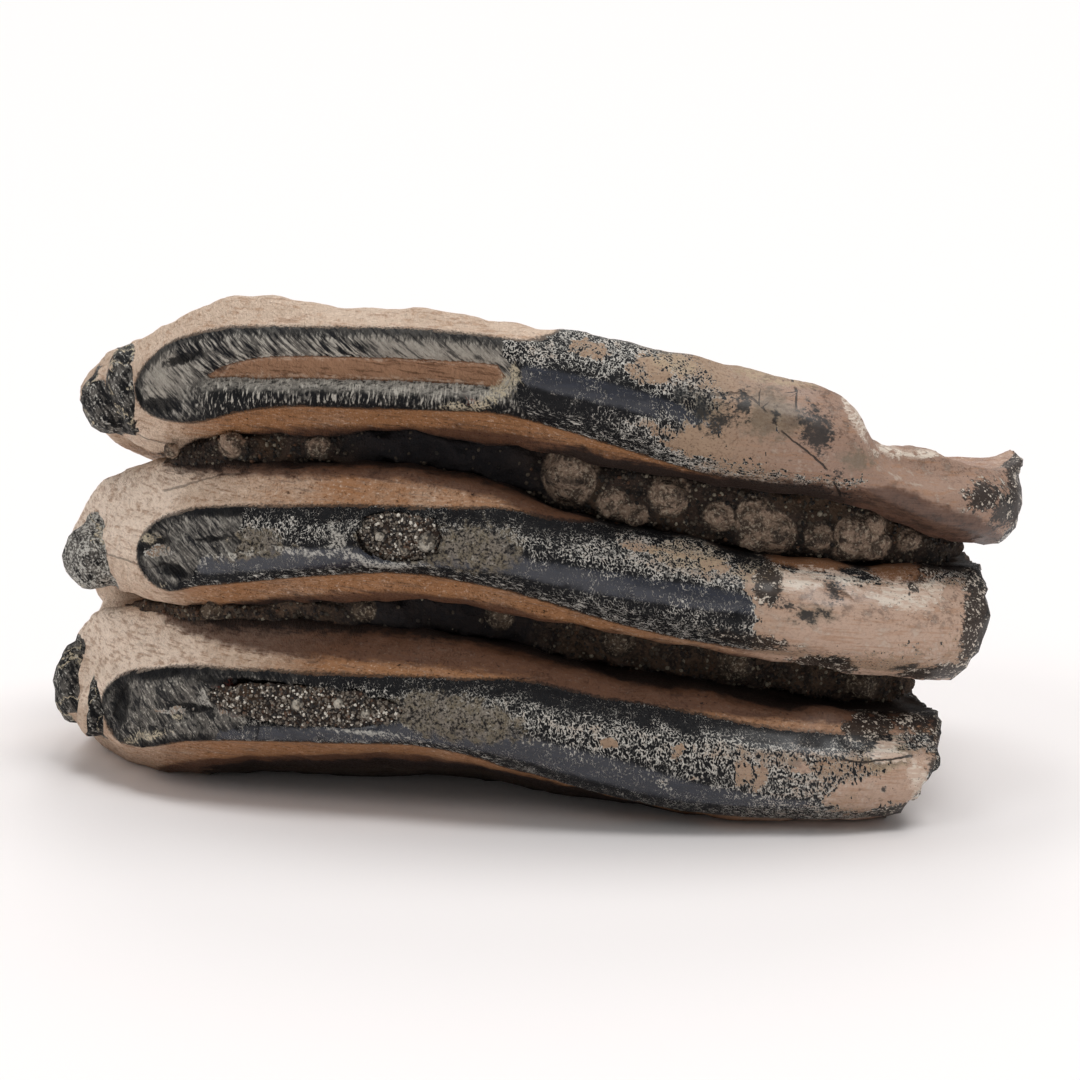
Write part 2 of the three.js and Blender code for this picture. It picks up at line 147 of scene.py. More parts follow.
def noise(p, size, seed=0):  # smooth noise from -1 to 1, with bumps about size wide
    q = p / size
    cell = np.floor(q).astype(np.int64)
    f = q - cell
    f = f**3 * (f * (6 * f - 15) + 10)
    total = 0
    for dx in (0, 1):
        for dy in (0, 1):
            for dz in (0, 1):
                weight = (np.abs(1 - dx - f[:, 0]) * np.abs(1 - dy - f[:, 1]) * np.abs(1 - dz - f[:, 2]))
                total = total + weight * hashed(cell[:, 0] + dx, cell[:, 1] + dy, cell[:, 2] + dz, seed)
    return total


def layered(p, size, layers=3, seed=0, gain=0.5):
    return sum(gain**n * noise(p, size / 2**n, seed + n) for n in range(layers))


def bumps(x, y, z):
    return (0.34 * np.sin(0.37 * x + 0.8 * np.sin(0.19 * z + 1)) * np.cos(0.31 * y + 0.13 * x)
            + 0.2 * np.sin(0.83 * x + 0.47 * z) * np.sin(0.71 * y - 0.29 * x + 2))


def brokenBumps(u, v):
    return 0.9 * np.sin(0.43 * u + 1.7 * np.sin(0.21 * v)) + 0.6 * np.sin(0.92 * v + 1.1 * np.sin(0.5 * u))


def seam(i, x, y):  # height of the seam between plate i and the one below
    front = (along(plates[i]["low"], x) + along(plates[i + 1]["top"], x)) / 2
    strays = front - seams["frontLevel"] + seams["frontPitch"] * (i - 0.5)
    back = seams["backLevel"] + seams["backPitch"] * (1.5 - i) + seams["follow"] * strays - seams["backDrop"]
    return blend(front, back, ease(y, *seams["bend"]))


def reachPast(i, x):
    halfGap = (along(plates[i]["low"], x) - along(plates[i + 1]["top"], x)) / 2
    notch = seams["notches"][i]
    return blend(-halfGap, seams["coreOverlap"], ease(x, notch - 1.5, notch + 2.5))


def skin(i, up, x, y, crest):  # a plate's upper or lower face behind its shoulders
    if up and i > 0:
        return seam(i - 1, x, y) + reachPast(i - 1, x)
    if not up and i < 2:
        return seam(i, x, y) - reachPast(i, x)
    if up:
        return along(plates[0]["top"], x) - slopes["top"] * np.maximum(0, y - crest - slopes["topFrom"])
    return along(plates[2]["low"], x) - slopes["under"] * np.maximum(0, y - crest - slopes["underFrom"])


def wornShare(plate, x):
    return 1 - ease(x, plate["wornTo"] - plate["wearBlend"], plate["wornTo"] + plate["wearBlend"])


def sectionSide(i, x, up):
    plate, out = plates[i], 1 if up else -1
    crest = along(crestDepth, x) + plate["setBack"]
    back = along(sideDepth, x)
    edge = along(plate["edgeUp" if up else "edgeLow"], x)
    shoulder = along(plate["top" if up else "low"], x)
    middle = (along(plate["edgeUp"], x) + along(plate["edgeLow"], x)) / 2
    worn = wornShare(plate, x)
    outer = (i == 0 and up) or (i == 2 and not up)
    reach = min(1, (back - crest) / section["fullDepth"])
    floor = crest + seams["grooveDepth"] * reach
    points = [
        [crest + blend(*section["nose"], worn), blend(middle, edge, section["noseHeight"])],
        [crest + blend(*section["edge"], worn), edge],
        [crest + blend(*section["lip"], worn), edge + out * blend(*section["lipRise"], worn)],
        [crest + blend(*section["shoulder"], worn) * reach**0.5, shoulder],
        [floor, skin(i, up, x, floor, crest) if outer else shoulder - out * section["floorDrop"]],
    ]
    for share in section["shares"]:
        y = blend(crest, back, share)
        points.append([y, skin(i, up, x, y, crest)])
    return [[y, z + (bumps(x, y, z) if n > 2 else 0)] for n, (y, z) in enumerate(points)]


def sectionLoop(i, x, steps):  # the closed outline of plate i at x, as points of y and z
    plate = plates[i]
    upper, lower = sectionSide(i, x, True), sectionSide(i, x, False)
    worn = wornShare(plate, x)
    trough = plate["trough"] * worn * ease(x, plate["troughFrom"] - 2, plate["troughFrom"] + 3)
    crest = along(crestDepth, x) + plate["setBack"] + worn + trough
    back = [along(sideDepth, x), (upper[7][1] + lower[7][1]) / 2]
    knots = np.array([[crest, (upper[0][1] + lower[0][1]) / 2], *upper, back, *lower[::-1]])
    loop = []
    for n, parts in enumerate(steps + steps[::-1]):
        a, b, c, d = (knots[(n + k) % len(knots)] for k in (-1, 0, 1, 2))
        t = (np.arange(parts) / parts)[:, None]
        loop.append(0.5 * (2 * b + (c - a) * t + (2 * a - 5 * b + 4 * c - d) * t**2
                           + (3 * b - a - 3 * c + d) * t**3))
    return np.concatenate(loop)


def shown(name, data):
    piece = bpy.data.objects.new(name, data)
    bpy.context.scene.collection.objects.link(piece)
    return piece


def slanted(p, turn, sizes):  # the points in axes turned about Y, with a size for each axis
    c, s = cos(radians(turn)), sin(radians(turn))
    return np.column_stack([p[:, 0] * c - p[:, 2] * s, p[:, 1], p[:, 0] * s + p[:, 2] * c]) / sizes


def pieceOf(name, verts, faces):  # a new object from points in mm of the form
    mesh = bpy.data.meshes.new(name)
    mesh.from_pydata(np.asarray(verts, float).tolist(), [], faces)
    work = bmesh.new()
    work.from_mesh(mesh)
    bmesh.ops.recalc_face_normals(work, faces=work.faces)
    work.to_mesh(mesh)
    work.free()
    return shown(name, mesh)


def tubeOf(name, rings):  # closed rings of equal length; the first and last are points
    around, last = len(rings[0]), len(rings) - 1
    verts = np.concatenate([rings[0][:1], *rings[1:-1], rings[-1][:1]])
    index = lambda r, k: 0 if r == 0 else len(verts) - 1 if r == last else 1 + (r - 1) * around + k % around
    faces = []
    for r in range(last):
        for k in range(around):
            corners = (index(r, k), index(r + 1, k), index(r + 1, k + 1), index(r, k + 1))
            faces.append(tuple(dict.fromkeys(corners)))
    return pieceOf(name, verts, faces)


def wallOf(name, face, away):  # a closed block behind a grid of points
    rings = [np.concatenate([row, row[-1:] + away, row[:1] + away]) for row in face]
    ends = [ring[-2:].mean(axis=0, keepdims=True) for ring in (rings[0], rings[-1])]
    return tubeOf(name, [np.repeat(ends[0], len(rings[0]), axis=0), *rings, ends[1]])


def ballOf(name, at, radii, turn=0, detail=4):
    work = bmesh.new()
    bmesh.ops.create_icosphere(work, subdivisions=detail, radius=1)
    v = np.array([vert.co[:] for vert in work.verts]) * radii
    faces = [tuple(vert.index for vert in face.verts) for face in work.faces]
    work.free()
    return pieceOf(name, slanted(v, -turn, (1, 1, 1)) + at, faces)


def vectors(items, key):
    flat = np.empty(len(items) * 3)
    items.foreach_get(key, flat)
    return flat.reshape(-1, 3)


def points(piece):
    return vectors(piece.data.vertices, "co")


def normals(piece):
    return vectors(piece.data.vertex_normals, "vector")


def setPoints(piece, v):
    piece.data.vertices.foreach_set("co", np.asarray(v, float).ravel())
    piece.data.update()


def applied(piece):  # the piece with its modifiers worked into its mesh
    made = piece.evaluated_get(bpy.context.evaluated_depsgraph_get())
    mesh = bpy.data.meshes.new_from_object(made)
    piece.modifiers.clear()
    old, piece.data = piece.data, mesh
    bpy.data.meshes.remove(old)
    return piece


def joinWith(piece, others, operation):  # boolean with each of the others, which are used up
    for other in others:
        step = piece.modifiers.new(operation, "BOOLEAN")
        step.operation, step.solver, step.object = operation, "MANIFOLD", other
        applied(piece)
        bpy.data.objects.remove(other)
    return piece


def remade(piece, voxel):  # one even skin round everything in the piece
    step = piece.modifiers.new("skin", "REMESH")
    step.mode, step.voxel_size, step.use_smooth_shade = "VOXEL", voxel, True
    return applied(piece)


def triangles(piece):
    return sum(len(face.vertices) - 2 for face in piece.data.polygons)


def thinned(piece, count, keep=None):
    step = piece.modifiers.new("thin", "DECIMATE")
    step.ratio = min(1, count / triangles(piece))
    if keep is not None:  # a share for each point; the decimation spares the high ones
        group = piece.vertex_groups.new(name="keep")
        levels = np.round(np.clip(keep, 0, 1) * 8) / 8
        for level in np.unique(levels):
            group.add(np.flatnonzero(levels == level).tolist(), float(level), "REPLACE")
        step.vertex_group, step.vertex_group_factor = "keep", 1.0
    applied(piece)
    piece.vertex_groups.clear()


def placed(piece):  # from mm of the form to metres of the frame
    setPoints(piece, (points(piece) + [centring, 0, 0]) * mm)
    piece.data.shade_smooth()
    return piece


def tell(stage, piece=None):
    count = ": %d triangles" % triangles(piece) if piece else ""
    print("%5.1f s  %s%s" % (time.time() - started, stage, count))


body = {"rows": 120, "capRows": 4, "rightReach": 56, "stretches": [4, 3, 2, 6, 4, 4, 2, 2, 2],
        "voxel": 0.34, "triangles": 188000}


def plateBody(i):
    plate, rows, rings = plates[i], body["rows"], []
    for n in range(rows + body["capRows"] + 1):
        share = min(1, n / rows)
        x = blend(plate["tip"], body["rightReach"], 0.62 * share + 0.19 * (1 - cos(np.pi * share)))
        inset = min(1, (x - plate["tip"]) / plate["tipRadius"])
        keep = (1 - (1 - inset) ** 2) ** 0.5 if n <= rows else 1 - (n - rows) / body["capRows"]
        loop = sectionLoop(i, x, body["stretches"])
        loop = loop.mean(axis=0) + (loop - loop.mean(axis=0)) * keep
        loop[:, 1] = np.maximum(loop[:, 1], 0)
        rings.append(np.column_stack([np.full(len(loop), x), loop]))
    return tubeOf("plate%d" % i, rings)


def seamHollow(x, y, z):
    return sum(np.exp(-(((z - seam(i, x, y)) / brokenWalls["notchHalf"]) ** 2)) for i in (0, 1))


def rightBreak(y, z):  # where the right end is broken off, as an x
    return (along(rightEnd["edge"], z) - rightEnd["lean"] * (y - rightEnd["leanFrom"])
            + rightEnd["bumps"] * brokenBumps(y, z)
            - rightEnd["notch"] * ease(y, -12, 0) * seamHollow(44, y, z))


def backBreak(x, z):  # where the roots are broken off, as a y
    return (rootSide["at"] - rootSide["bow"] * (x - rootSide["bowAt"]) ** 2
            - rootSide["lean"] * (z - rootSide["leanFrom"]) + rootSide["bumps"] * brokenBumps(x, z)
            - rootSide["notch"] * seamHollow(x, 25, z))


def bentBall(name, at, radii, frontShare=1):
    piece = ballOf(name, (0, 0, 0), radii)
    v = points(piece)
    v[:, 1] *= np.where(v[:, 1] < 0, frontShare, 1)
    v[:, 1] += along(crestDepth, at[0] + v[:, 0]) - along(crestDepth, at[0])
    setPoints(piece, v + at)
    return piece


def toothBody():
    whole = plateBody(0)
    joinWith(whole, [plateBody(1), plateBody(2)], "UNION")
    joinWith(whole, [ballOf("knob", k["at"], k["radii"], k["turn"]) for k in knobs], "UNION")
    heights, thick = np.linspace(*brokenWalls["heights"]), brokenWalls["thick"]
    u, v = np.meshgrid(np.linspace(*rightEnd["rows"]), heights, indexing="ij")
    right = wallOf("right", np.stack([rightBreak(u, v), u, v], axis=-1), (thick, 0, 0))
    u, v = np.meshgrid(np.linspace(*rootSide["rows"]), heights, indexing="ij")
    back = wallOf("back", np.stack([u, backBreak(u, v), v], axis=-1), (0, thick, 0))
    hollows = [bentBall("pit", pit["at"], pit["radii"]) for pit in pits.values()]
    hollows.append(ballOf("rim", rimHollow["at"], rimHollow["radii"]))
    joinWith(whole, [right, back, *hollows], "DIFFERENCE")
    return remade(whole, body["voxel"])


# where the surface changes, as ellipses of x, z, half width, half height and turn
marks = {
    "tan": [
        [(4.9, 48.8, 2.2, 0.8, 10), (10.8, 46.9, 2.6, 1.4, 12), (15.7, 40.2, 4, 1.6, 15),
         (20.1, 41.6, 4, 3.4, 10), (24.5, 44.6, 5.9, 2.2, 14), (25.6, 38.6, 5, 2.5, 15),
         (30.6, 39.5, 4.5, 4, 0), (9.8, 42.1, 1.8, 0.6, 15), (40, 33.3, 11, 5, 10)],
        [(14.8, 28.9, 3, 0.8, 8), (9.9, 29.5, 2.6, 0.7, 8), (22.8, 25.2, 3, 2.2, 0),
         (25.9, 21.4, 5.9, 2.6, 8), (33, 22.1, 7, 4.2, 8), (39.2, 23.2, 5, 5, 0),
         (17.8, 27.6, 1.6, 0.8, 0), (-39, 26.4, 1.7, 0.5, -12), (-41.7, 22.1, 0.8, 0.9, 20)],
        [(13.6, 9.1, 1.1, 1, 0), (12.5, 5.6, 1.4, 0.8, 10), (21, 6.6, 2, 1.6, 10),
         (32.5, 4.2, 4.4, 1.9, -14), (37, 6.8, 2.2, 5, 0), (7, 9.9, 0.9, 0.6, 0), (26.1, 7.4, 1, 0.7, 0),
         (16.1, 6.5, 0.8, 0.5, 0), (-38.1, 9.9, 2, 0.4, -6), (-32.4, 10.6, 1.1, 0.3, -4),
         (-27, 11.2, 0.9, 0.3, 0), (-30, 11.8, 0.6, 0.3, 0)],
    ],
    "stain": [
        [(27.1, 40.9, 1.7, 2.4, -10), (18.3, 43.1, 1, 1.3, -20), (20.1, 43.6, 0.6, 1.4, -10),
         (15.6, 43.2, 0.7, 1.9, -6), (17.1, 42, 0.6, 1.6, -8), (13.6, 44.6, 0.7, 1.2, 0),
         (21.3, 45, 0.6, 0.4, 0), (29.1, 37, 0.8, 1, 0), (23.1, 42.6, 0.5, 0.8, 0),
         (46.8, 31.8, 1.6, 2.2, 0)],
        [(27.1, 22.7, 1.8, 0.9, 0), (29.5, 25.1, 1, 1.3, 0), (23.1, 24.4, 0.9, 0.8, 0),
         (29.5, 17.7, 1.8, 0.8, 0), (21.8, 26.8, 0.6, 0.5, 0), (36.7, 16.7, 2, 0.6, 0),
         (24.9, 19.9, 0.8, 0.5, 0)],
        [(33.5, 7.9, 0.8, 0.5, 0), (36.9, 9.4, 0.9, 0.7, 0), (34.8, 5.1, 0.6, 0.5, 0),
         (39.6, 6.5, 0.8, 1.4, 0)],
    ],
    "crust": [
        [(31.2, 41.9, 0.6, 2.8, -28), (34.1, 38.5, 1.8, 0.45, 10), (38.4, 37.6, 4.4, 0.45, 4)],
        [(25.8, 25.9, 4, 0.9, -4), (36, 24, 4, 1.4, 12), (30.9, 25.6, 2.6, 0.7, 10),
         (39.2, 24.2, 1.6, 1.2, 0)],
        [(34.7, 8.5, 2, 1.1, 0), (38, 5.7, 1.2, 2.4, 0)],
    ],
    "orange": [
        [],
        [(36.5, 25.9, 3.8, 0.9, 6), (27, 27.3, 4.6, 0.8, 6)],
        [],
    ],
    "dun": [
        [(23, 42.6, 4, 2.8, 14), (15.5, 43.6, 4, 2, 12), (31, 38, 3, 1.4, 0)],
        [(27.3, 22.8, 3, 1.4, 0)],
        [(35, 8.2, 2.6, 1.6, 0)],
    ],
    "cream": [
        [(-3.8, 44.8, 1.8, 0.9, -36), (-5.6, 43.4, 1.8, 0.7, -24), (-2.5, 46.4, 0.6, 1.1, 0),
         (-45.6, 41.8, 0.4, 1.7, 10), (-8.6, 43, 1.6, 0.5, 0)],
        [(-40.4, 27.7, 1.3, 0.6, -10), (-34.2, 27.3, 1.4, 0.3, -20), (-31.2, 28.5, 1, 0.3, -20),
         (-47.5, 23.7, 0.3, 1.5, 0), (-39.1, 23, 0.6, 0.4, 0)],
        [(-40.7, 6.9, 2.3, 0.5, -18), (-42.8, 5.5, 0.9, 0.4, -10), (-37.5, 9.4, 1.4, 0.3, -12),
         (-34.6, 6.8, 1.6, 0.2, 0)],
    ],
    "crusty": [
        [(13, 47.4, 3, 1, 14), (24, 46, 5, 1, 10)],
        [(14.8, 28.4, 4.6, 1.3, 8), (21.4, 26.6, 3, 1.2, 8)],
        [(34.6, 8.4, 2.8, 1.9, 0)],
    ],
    "ragged": [
        [(49.4, 33, 2.2, 4.4, 0), (44.6, 33.4, 2.4, 1.6, 0), (51, 29.6, 1.6, 2, 0)],
        [(44.6, 21, 2.4, 6.5, 8), (39.4, 26.4, 1.6, 1.2, 0), (20.4, 20.2, 4.6, 1.2, 12),
         (29, 16.9, 3.4, 1.3, 4), (40, 15.6, 4.6, 1.2, 0), (22.4, 25.6, 1.6, 2, 0),
         (37.4, 24.8, 0.7, 1.2, 0)],
        [(39, 12, 3, 3, 0), (36.8, 2.2, 4.6, 1, -8), (33, 10.6, 3.4, 1.2, 0), (41.6, 8, 1.8, 5, 0)],
    ],
    "dark": [
        [(-38.4, 41.6, 2.4, 1, 0), (-41.6, 41, 1, 2.4, 12), (-36, 46.6, 3, 0.5, -20),
         (-43.4, 44.6, 0.5, 2, -30)],
        [(-40, 26.9, 3.4, 0.6, -25), (-33.5, 28.4, 2.4, 0.4, -10), (-44, 30, 1.6, 1.4, 30),
         (-33.6, 31.4, 6, 0.8, -4), (-37.4, 24.6, 2.6, 0.7, 8), (-29, 28.8, 3, 1.2, 0),
         (-41.4, 23.6, 1.2, 1.4, 0)],
        [(-44, 9.4, 1, 3, 8), (-36, 10.4, 3, 0.5, -8), (-30, 13.6, 6, 0.7, 0), (-21, 13.4, 8, 0.7, 2),
         (-38.6, 14, 4, 0.7, -16)],
    ],
    "rust": [
        [(-6.6, 43.6, 1, 0.6, 0)],
        [],
        [(-31.6, 12.2, 1.6, 1.6, 0)],
    ],
    "sandy": [
        [],
        [(-14, 29.5, 5, 2.2, 8), (-6, 29.1, 4.5, 2.6, 8), (-30.4, 28, 5.1, 1.6, -8)],
        [(-24.5, 12.2, 10.5, 1.7, 4), (-8.6, 11.8, 7, 2.4, 8)],
    ],
    "white": [
        [],
        [(-31.5, 26.8, 3.4, 0.4, -12), (-34.6, 26, 1.6, 0.6, -40), (-24.2, 28, 4, 0.4, 0),
         (-18.1, 27.6, 2, 0.5, 20), (-20.4, 29.6, 0.8, 1.6, 0), (-15, 26.9, 4, 0.4, -4)],
        [(-17.3, 9.6, 5, 0.3, 2), (-34.5, 11.5, 1.2, 0.9, 0), (-24, 11.8, 2.2, 1, 0),
         (-19.8, 12.4, 2, 1.2, 0)],
    ],
}
cracks = [  # lines of x and z in the front of a plate
    (0, [(15.9, 44.9), (17.7, 44.5), (19.7, 44.8), (21.2, 44), (22.9, 42.1), (24.4, 40.3), (25.8, 39.6),
        (27.2, 38.3), (28.3, 37.3), (29.1, 35.7), (29.6, 34.7)]),
    (0, [(24.6, 46.2), (25.4, 44.8), (25.2, 43.4)]),
    (0, [(-44.3, 38.7), (-42.5, 37.8), (-40, 37), (-38, 36.9)]),
    (1, [(-38.4, 32.4), (-35.7, 33.4), (-33, 34.4), (-30.3, 34.8)]),
    (1, [(-46.8, 25), (-43.8, 25), (-40.3, 24.6), (-37.8, 25.4)]),
    (2, [(30, 8.2), (32.3, 7.8), (37, 7.9)]),
    (2, [(-43, 12), (-44.2, 9.5), (-45.2, 7.1)]),
]
loopEnds = [-41.5, -41.6, -46.4]  # how far left the enamel reaches in each plate's front
dentine = {"from": -33.5, "to": -4.6, "height": 0.49, "half": 1.15}
cementThick = 1.8  # in the broken faces
wornEnds = [(-2.6, -2.1), (-31.5, -29.5), (-32, -24)]  # where the cut enamel ends in each plate, as an x
# how far behind the crest each thing ends, in mm
fades = {"enamel": 6.5, "marks": (7, 11), "behind": (9, 15), "dirt": (13, 18), "crack": 12}
sheens = [  # the smooth band along each ridge, which carries a painted reflection and a glossy coat, as shares of the enamel's height
    {"start": -2.2, "middle": [-3, 0.6, 8, 0.6, 20, 0.57], "half": [-3, 0.17, 8, 0.16, 19, 0.12]},
    {"start": -35.5, "middle": [-36, 0.3, -20, 0.3, -4, 0.42, 6, 0.52, 16, 0.61, 22, 0.65],
     "half": [-36, 0.18, -20, 0.2, -4, 0.18, 16, 0.19, 22, 0.17]},
    {"start": -35, "middle": [-36, 0.12, -20, 0.14, -10, 0.25, 6, 0.3, 16, 0.22, 28, 0.2],
     "half": [-36, 0.12, -20, 0.15, -10, 0.2, 6, 0.24, 16, 0.17, 28, 0.07]},
]
flecks = [  # how thick the pale flecks lie below, in and above the band, and what the upper rim lacks
    ([-2, 0.06, 4, 0.1, 12, 0.5, 20, 1.2], [-2, 0.02, 9, 0.06, 13, 0.24, 17, 0.6, 22, 1.5],
     [-2, 0.42, 8, 0.48, 12, 0.75, 18, 1.05, 26, 1.5], 0),
    ([-36, 0.1, -4, 0.14, 10, 0.24, 20.3, 0.4, 21.4, 1.5],
     [-36, 0.02, 6, 0.02, 12, 0.07, 20.3, 0.14, 21.4, 1.5],
     [-36, 0.4, -20, 0.36, -6, 0.28, 4, 0.42, 14, 0.66, 20.3, 0.74, 21.4, 1.5], 0.9),
    ([-36, 0.1, 4, 0.12, 16, 0.26, 26, 0.42, 36, 0.8],
     [-36, 0.12, -12, 0.14, 6, 0.05, 16, 0.16, 26, 0.5, 34, 0.85],
     [-36, 0.3, -10, 0.4, 2, 0.45, 16, 0.66, 24, 0.82, 33, 0.9, 38, 1.1], 0.95),
]
wraps = [  # how far the enamel runs past the upper and lower edges of the ridge; the lower plate's run under its lower edge is partly painted shade, a dark band on its underside
    ([-2, 0, 0, 0.3, 4, 2.6, 9, 4.5], [-2, 0, 10, 0.2, 20, 0.6]),
    ([-12, 0, -4, 0.4, 2, 0.9, 10, 2, 24, 2.1], [0, 0, 10, 0.5, 24, 0.8]),
    ([-12, 0, 2, 0.9, 11, 0.8, 22, 0.3, 40, 0.8], [-14, 0, -6, 0.4, 0, 2.4, 14, 2.4, 18, 0.8]),
]
soilStart = [-40, 10, -16, 8.5, 2, 3.6, 20, 3.2, 50, 3.4]  # how deep the soil begins in the grooves
palenessAndLight = [  # how pale the cement is above and below each ridge: the pale left ends are the cement's own colour, while keeping the upper faces paler than the undersides is painted light
    ([-50, 1, -2, 0.95, 10, 0.8, 50, 0.7], [-42, 1.1, -36, 0.6, -30, 0.2, 10, 0.05, 50, 0.3]),
    ([-42, 1.9, -38, 1.5, -34, 0.8, -22, 0.42, -10, 0.34, 5, 0.15, 50, 0.6],
     [-42, 1.1, -37, 0.5, -30, 0.14, 50, 0.3]),
    ([-44, 1.7, -36, 1.3, -29, 0.7, -20, 0.3, 0, 0.2, 50, 0.3], [-46, 0.8, -38, 0.35, -30, 0.12, 50, 0]),
]
shades = [  # the share of the upper slope where the painted shadow of the plate above begins, and the mm below the lower edge where the painted shade begins
    ([-50, 3, 50, 3],
     [-44, 9, -36, 4, -30, 2.4, 0, 1.4, 12, 0.4, 24, -0.7, 31, -1.6, 37, -3.4, 44, -2.9, 48, -0.5]),
    ([-43, 1.4, -38, 0.86, -33, 0.7, -20, 0.66, -5, 0.5, 5, 0.2, 12, 0],
     [-44, 9, -38, 3.4, -30, 2.2, -5, 1.7, 10, 1.2, 20, 1, 30, 2.2, 50, 3]),
    ([-43, 1.15, -35, 0.55, -22, 0.22, 10, 0.22, 20, 0.3, 30, 0.55, 50, 0.8],
     [-46, 9, -40, 3.6, -30, 2.6, -14, 2, 0, 2.2, 20, 1.6]),
]


def nearness(marked, which, p):  # 1 at the middle of a mark, 0 at its rim, below 0 outside
    best = np.full(len(p), -2.0)
    for i, ellipses in enumerate(marked):
        for x, z, halfWidth, halfHeight, turn in ellipses:
            spread = slanted(p * [1, 0, 1] - [x, 0, z], turn, (halfWidth, 1, halfHeight))
            away = np.linalg.norm(spread, axis=1)
            best = np.where(which == i, np.maximum(best, 1 - away), best)
    return best


def crackFields(which, x, z):  # the signed distance to the nearest crack, and how near its span is
    line, nearest = np.full(len(x), 3.0), np.full(len(x), 9.0)
    for plate, path in cracks:
        for (ax, az), (bx, bz) in zip(path, path[1:]):
            ux, uz = bx - ax, bz - az
            length = np.hypot(ux, uz)
            t = np.clip(((x - ax) * ux + (z - az) * uz) / length**2, 0, 1)
            away = np.hypot(x - ax - t * ux, z - az - t * uz)
            side = ((x - ax) * uz - (z - az) * ux) / length
            near = (which == plate) & (away < nearest)
            line, nearest = np.where(near, side, line), np.where(near, away, nearest)
    return np.clip(line, -3, 3), (nearest < 0.6).astype(float)


def siteOf(p, n):  # where each point lies on its plate
    s = SimpleNamespace(p=p, n=n, x=p[:, 0], y=p[:, 1], z=p[:, 2])
    s.upperSeam, s.lowerSeam = seam(0, s.x, s.y), seam(1, s.x, s.y)
    s.which = np.where(s.z > s.upperSeam, 0, np.where(s.z > s.lowerSeam, 1, 2))
    s.pick = lambda rows: np.choose(s.which, [np.broadcast_to(row, s.x.shape) for row in rows])
    s.sampled = lambda tables, key: s.pick([along(table[key], s.x) for table in tables])
    s.ridgeUp, s.ridgeLow = s.sampled(plates, "edgeUp"), s.sampled(plates, "edgeLow")
    s.up, s.low = s.ridgeUp + s.sampled(wraps, 0), s.ridgeLow - s.sampled(wraps, 1)
    s.middle = (s.up + s.low) / 2
    s.depth = s.y - along(crestDepth, s.x) - s.pick([plate["setBack"] for plate in plates])
    s.behind = ease(s.depth, *fades["behind"])
    s.reached = s.ridgeLow - s.z - s.sampled(shades, 1)
    return s


def enamelFields(s, f):
    x, z = s.x, s.z
    half = (s.up - s.low) / 2
    edge = half - np.hypot(z - s.middle, np.maximum(0, s.pick(loopEnds) + half - x))
    f.edge = np.clip(np.minimum(edge, fades["enamel"] + 1.6 * noise(s.p, 3, 64) - s.depth), -6, 6)
    f.under = z - s.low
    reach = np.hypot(z - blend(s.ridgeLow, s.ridgeUp, dentine["height"]),
                     np.maximum(0, np.maximum(dentine["from"] - x, x - dentine["to"])))
    thick = dentine["half"] * ease(x, dentine["from"] - 4, dentine["from"] + 7)
    f.dentine = np.clip(np.where(s.which == 0, thick - reach, -3), -3, 3)
    step = 0.6 * noise(s.p, 1.6, 40) + 0.35 * (z - s.middle)
    ragged = [x + step, x + 2.6 * noise(s.p, 2.4, 41) + 2.2 * np.maximum(0, s.middle - z),
              x + 2 * noise(s.p, 3, 42) - 1.3 * (z - s.middle)]
    f.worn = s.pick([1 - ease(end, *ends) for end, ends in zip(ragged, wornEnds)])
    middleRough = ease(x, -44, -41) * (1 - ease(x, -8, 2)) * ease(f.under, 2.6, 3.8)
    f.rough = s.pick([0, middleRough + (1 - ease(x, -37.5, -36)),
                      1 - ease(x, -20, -8) * 0.6 - 0.4 * ease(x, -6, 4)])
    f.clear = s.pick([ease(x, -26, -14) * (1 - ease(x, -4, -1)) + (1 - ease(x, -38, -34)), 0.2, 0.2])
    f.ribbed = s.pick([ease(x, -38, -33), 0, 0])


def coatFields(s, f):  # the smooth band along the ridge, where a reflection is painted, and the pale flecks round it
    ridge = (s.z - s.ridgeLow) / np.maximum(0.5, s.ridgeUp - s.ridgeLow)
    place = (ridge - s.sampled(sheens, "middle")) / s.sampled(sheens, "half")  # -1 and 1 at its rims
    starts = s.pick([ease(s.x, sheen["start"] - 1, sheen["start"] + 1) for sheen in sheens])
    f.sheen = blend(-1, np.clip(1 - np.abs(place), -1, 1), starts)
    below, within, above = (s.sampled(flecks, key) for key in range(3))
    gone = s.pick([rows[3] for rows in flecks])
    height = (s.z - s.low) / np.maximum(0.5, s.up - s.low)  # from 0 to 1 over the enamel
    share = blend(blend(below, within, ease(place, -1.3, -0.8)), above, ease(place, 0.8, 1.4))
    share = share * blend(0.78, 1.2, ease(height, 0.5, 0.76)) * (1 - gone * ease(height, 0.8, 0.9))
    f.coat = np.clip(share, 0, 1.3)


def markFields(s, f):
    for kind, marked in marks.items():
        away = nearness(marked, s.which, s.p) - 3 * ease(s.depth, *fades["marks"])
        setattr(f, kind, np.clip(away, -2, 1))
    f.crack, span = crackFields(s.which, s.x, s.z)
    f.crackSpan = span * (s.depth < fades["crack"])


